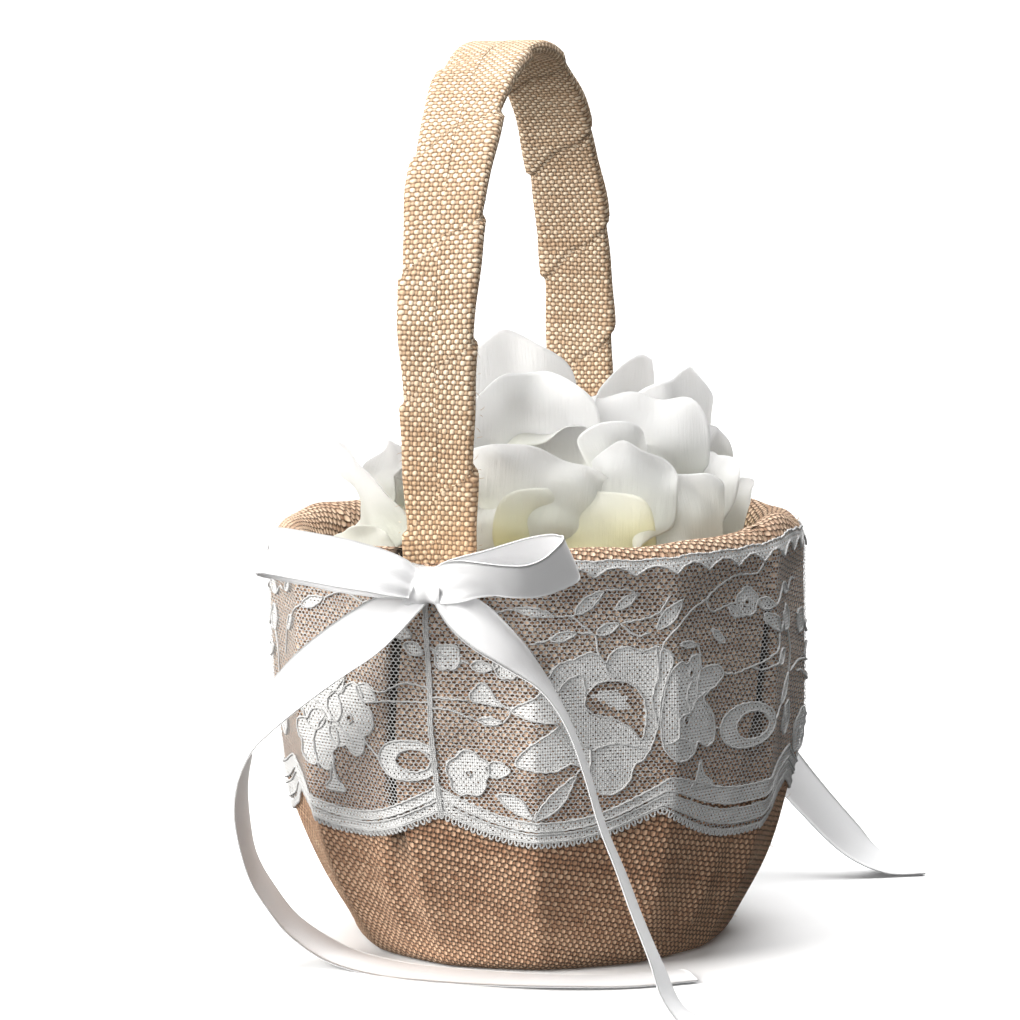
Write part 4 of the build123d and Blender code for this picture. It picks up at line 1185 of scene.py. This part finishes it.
# ---------------------------------------------------------------- silk petals
def petal(number, root, tip, facing, width, cup, curl, ruffle, material):
    """One petal: a softly folded disc from its root to its tip.

    facing is the way its outer face looks; cup bows the middle out (negative: a hollow petal), curl brings the
    tip out."""
    draw = np.random.default_rng(100 + number)
    rings, sectors = 24, 72
    t = np.linspace(0, 2 * pi, sectors, endpoint=False)
    rho = np.linspace(0, 1, rings)[:, None]
    waves = draw.uniform(0, 2 * pi, 5)
    root, tip = np.array(root, float), np.array(tip, float)
    length = np.linalg.norm(tip - root)
    rise = (tip - root) / length
    out = np.array([cos(radians(facing)), sin(radians(facing)), 0.0]) if rise[2] > 0.5 else np.array([0, 0, 1.0])
    out = unit(out - rise * (out @ rise))
    side = np.cross(rise, out)
    # outline in the petal's own plane: x across, y from root (0) to tip (length)
    narrow = (1 - 0.26 * step_up(-np.sin(t), 0.0, 1.0)) * (1 + 0.13 * np.sin(2 * t)**2)
    lobes = 1 + 0.035 * np.sin(3 * t + waves[4]) + 0.025 * np.sin(5 * t + waves[2])
    outline_x = width / 2 * np.cos(t) * narrow * lobes
    outline_y = length * (0.50 + 0.50 * np.sin(t) * lobes)
    outline_y -= 0.05 * length * bell(turn_between(np.degrees(t), 90 + draw.uniform(-25, 25)), 15)
    x = rho * outline_x[None, :]
    y = length * 0.5 + rho * (outline_y - length * 0.5)[None, :]
    nx, ny = x / (width / 2), y / length * 2 - 1
    dome = cup * (1 - nx**2) - cup * 0.45 * np.clip(ny, 0, None)**2 - cup * 0.35 * np.clip(-ny, 0, None)**2
    tip_curl = curl * np.clip(ny - 0.45, 0, None)**2 * 3.3
    edge = rho**4
    waviness = 1.2 * np.sin(3 * t + waves[0]) + 0.8 * np.sin(5 * t + waves[1]) + 0.35 * np.sin(9 * t + waves[2])
    folds = 1.5 * np.sin(nx * 2.6 + ny * 1.8 + waves[3]) + 0.9 * np.sin(nx * 4.6 - ny * 3.2 + waves[0])
    folds += 0.45 * np.sin(ny * 7.5 + nx * 3.0 + waves[1]) + 0.30 * np.sin(nx * 9.0 + ny * 4.0 + waves[4])
    depth = dome + tip_curl + ruffle * (edge * waviness + folds * rho)
    points = root + x[..., None] * side + y[..., None] * rise + depth[..., None] * out
    # the petals lie inside the rim
    radial = np.hypot(points[..., 0], points[..., 1])
    limit = MOUTH_RADIUS + 1.0 * step_up(points[..., 2], 100, 108)
    soft = limit - 2.0 * np.exp(-(np.maximum(radial - limit + 2.0, 0)) / 2.0)
    scale = np.where(radial > limit - 2.0, soft / np.maximum(radial, 1e-6), 1.0)
    points[..., 0] *= scale
    points[..., 1] *= scale
    petal_mesh(number, points, x, y, material)


def petal_mesh(number, points, x, y, material, thickness=0.22):
    rings, sectors = points.shape[:2]
    down = np.gradient(points, axis=0)
    wrapped = np.concatenate([points[:, -1:], points, points[:, :1]], 1)
    across = np.gradient(wrapped, axis=1)[:, 1:-1]
    normals = unit(np.cross(down, across))
    normals[0] = unit(normals[1].mean(0))
    top, under = points + normals * thickness / 2, points - normals * thickness / 2
    # the innermost ring is one point on each side
    def layer(grid):
        return np.concatenate([grid[0, :1], grid[1:].reshape(-1, 3)])
    verts = np.concatenate([layer(top), layer(under)])
    count = 1 + (rings - 1) * sectors
    fan = np.stack([np.zeros(sectors, int), 1 + np.arange(sectors), 1 + (np.arange(sectors) + 1) % sectors], 1)
    quads, _, _ = grid_faces(rings - 1, sectors, close_columns=True)
    quads = quads + 1
    rim_ring = 1 + (rings - 2) * sectors + np.arange(sectors)
    after = 1 + (rings - 2) * sectors + (np.arange(sectors) + 1) % sectors
    sides = np.stack([rim_ring, rim_ring + count, after + count, after], 1)
    quads_all = np.concatenate([quads, quads[:, ::-1] + count, sides])
    fans = np.concatenate([fan, fan[:, ::-1] + count])
    flat = np.concatenate([np.stack([x[0, :1], y[0, :1]], 1), np.stack([x[1:].ravel(), y[1:].ravel()], 1)])
    flat = np.concatenate([flat, flat])
    uv = np.concatenate([flat[quads_all].reshape(-1, 2), flat[fans].reshape(-1, 2)])
    node = f"petal_{number:02d}"
    piece = new_mesh(node + "_silk", verts, [quads_all, fans], material, uv=uv)
    place(piece, "petals", "petal_silk", node)
    return piece


MOUTH_RADIUS = 52.8          # the petals keep inside this
# root, tip, way it faces, width, cup, curl, ruffle, pale yellow or white
PETALS = (
    ((-15, 32, 98), (-13, 20, 147), -64, 34, 3, 1, 1.2, 0),       # top, behind the near leg
    ((2, -16, 98), (4, -19, 139), -70, 36, -6, -2, 1.2, 0),       # hollow petal that faces the camera
    ((14, 37, 100), (15, 31, 141), -16, 30, 3, 1, 0.8, 0),
    ((28, 22, 100), (31, 18, 138), -38, 26, 3, 1, 0.9, 0),        # peak at the right
    ((37, 12, 96), (38, 8, 125), -28, 28, 4, 1, 1.0, 0),
    ((27, -12, 102), (24, 4, 134), -84, 36, 4, -2, 1.8, 0),       # white ridge
    ((27, -22, 102), (23, -13, 126), -30, 24, 4, 1, 1.0, 0),      # fold in its own shade
    ((8, -40, 98), (9, -33, 122), -80, 40, 6, 3, 1.6, 0),         # folded band in front
    ((31, -34, 96), (30, -24, 122), -84, 24, 4, 0, 1.4, 0),       # bright lobe
    ((22, -47, 90), (21, -40, 115), -74, 38, -3, 0, 1.5, 1),      # pale yellow petal at the front rim
    ((43, -25, 93), (38, -18, 115), -64, 27, 4, 1, 1.3, 0),
    ((-1, -49, 92), (-2, -41, 110), -88, 28, 4, 0, 1.0, 0),
    ((-31, -13, 96), (-40, -24, 125), -140, 24, 3, 3, 0.9, 0),    # leans out to the left
    ((-36, -28, 90), (-38, -26, 102), -100, 22, 3, 1, 0.6, 0),
    ((37, -6, 93), (44, 5, 119), -126, 27, 2, -2, 1.0, 0),        # slopes down to the right rim
    ((45, -2, 92), (51, 7, 112), -124, 24, 2, -2, 0.8, 0),
    ((-8, 46, 92), (-6, 34, 122), 98, 42, 6, 2, 1.2, 0),
    ((24, 40, 92), (20, 30, 122), 60, 36, 6, 2, 1.2, 0),
    ((-34, 30, 92), (-24, 22, 122), 138, 38, 6, 2, 1.2, 0),
    ((-44, 6, 92), (-32, 6, 118), 174, 38, 6, 2, 1.2, 0),
    ((-16, -4, 118), (14, 10, 127), 95, 42, 5, 0, 1.6, 0),        # lies over the middle
    ((38, 24, 92), (32, 20, 118), 22, 34, 6, 2, 1.2, 1),
)


def make_petals():
    for number, row in enumerate(PETALS, start=1):
        petal(number, *row[:-1], PETAL_CREAM if row[-1] else PETAL_WHITE)


# ---------------------------------------------------------------- loose jute fibres
def make_fibres():
    """Short hairs that stand out of the burlap on the lower wall, the rim and the handle."""
    paths = []
    for _ in range(420):
        theta = rng.uniform(-180, 180)
        z = rng.uniform(3, 40) if rng.random() < 0.6 else rng.uniform(98.5, 100.5)
        roll = 0.0 if z < RIM_START else sqrt(1 - max(0.0, 1 - ((z - RIM_START) / 7)**2))
        r = float(wall_radius(z)) if z < RIM_START else RIM_CREST + 3.0
        start, _ = cover_point(np.array([theta]), np.array([r]), np.array([z]), np.array([min(roll, 0.9)]))
        start = start[0]
        out = unit(start * np.array([1, 1, 0.0]) + np.array([0, 0, 20.0 if z > 90 else 0.0]))
        side = unit(np.cross(out, rng.normal(size=3)))
        long = rng.uniform(1.6, 4.2)
        t = np.linspace(0, 1, 5)[:, None]
        paths.append(start - out * 0.2 + out * t * long * 0.45 + side * t**1.6 * long * rng.uniform(0.4, 0.9))
    path, outward = handle_path(300)
    for _ in range(260):
        k = rng.integers(6, 294)
        side_x = rng.choice([-1.0, 1.0])
        start = path[k] + np.array([side_x * rng.uniform(7.5, 9.6), 0, 0]) + outward[k] * rng.uniform(-1.5, 2.0)
        out = unit(np.array([side_x, 0, 0]) + outward[k] * rng.uniform(-0.3, 0.9))
        side = unit(np.cross(out, rng.normal(size=3)))
        long = rng.uniform(1.2, 3.2)
        t = np.linspace(0, 1, 5)[:, None]
        paths.append(start + out * t * long * 0.5 + side * t**1.6 * long * rng.uniform(0.3, 0.8))
    points, faces = tubes(paths, 0.055, 3, lambda p: np.tile(np.array([[0.3, 0.2, 0.93]]), (len(p), 1)))
    g = Graph("jute_fibre")
    tone = g.noise(g.position(), 700.0, 2)
    g.set(Base_Color=g.mix(tone, (0.42, 0.28, 0.17, 1), (0.80, 0.64, 0.47, 1)), Roughness=0.8)
    g.set(Specular_IOR_Level=0.2)
    place(new_mesh("jute_fibres", points, faces, g.material), "basket", "burlap")


# ---------------------------------------------------------------- CAD nodes that keep their shape
def finish_nodes():
    kept = {"core_shell": BOARD, "base_board": BOARD, "ridge_stakes": WOOD, "handle_core": WOOD,
            "rim_hoop": WIRE, "handle_tacks": STEEL}
    for node, material in kept.items():
        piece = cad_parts[node]
        piece.data.materials.clear()
        piece.data.materials.append(material)


make_cover()
make_lining()
make_base_patch()
make_handle_wrap()
make_lace()
make_bows()
make_petals()
make_fibres()
finish_nodes()
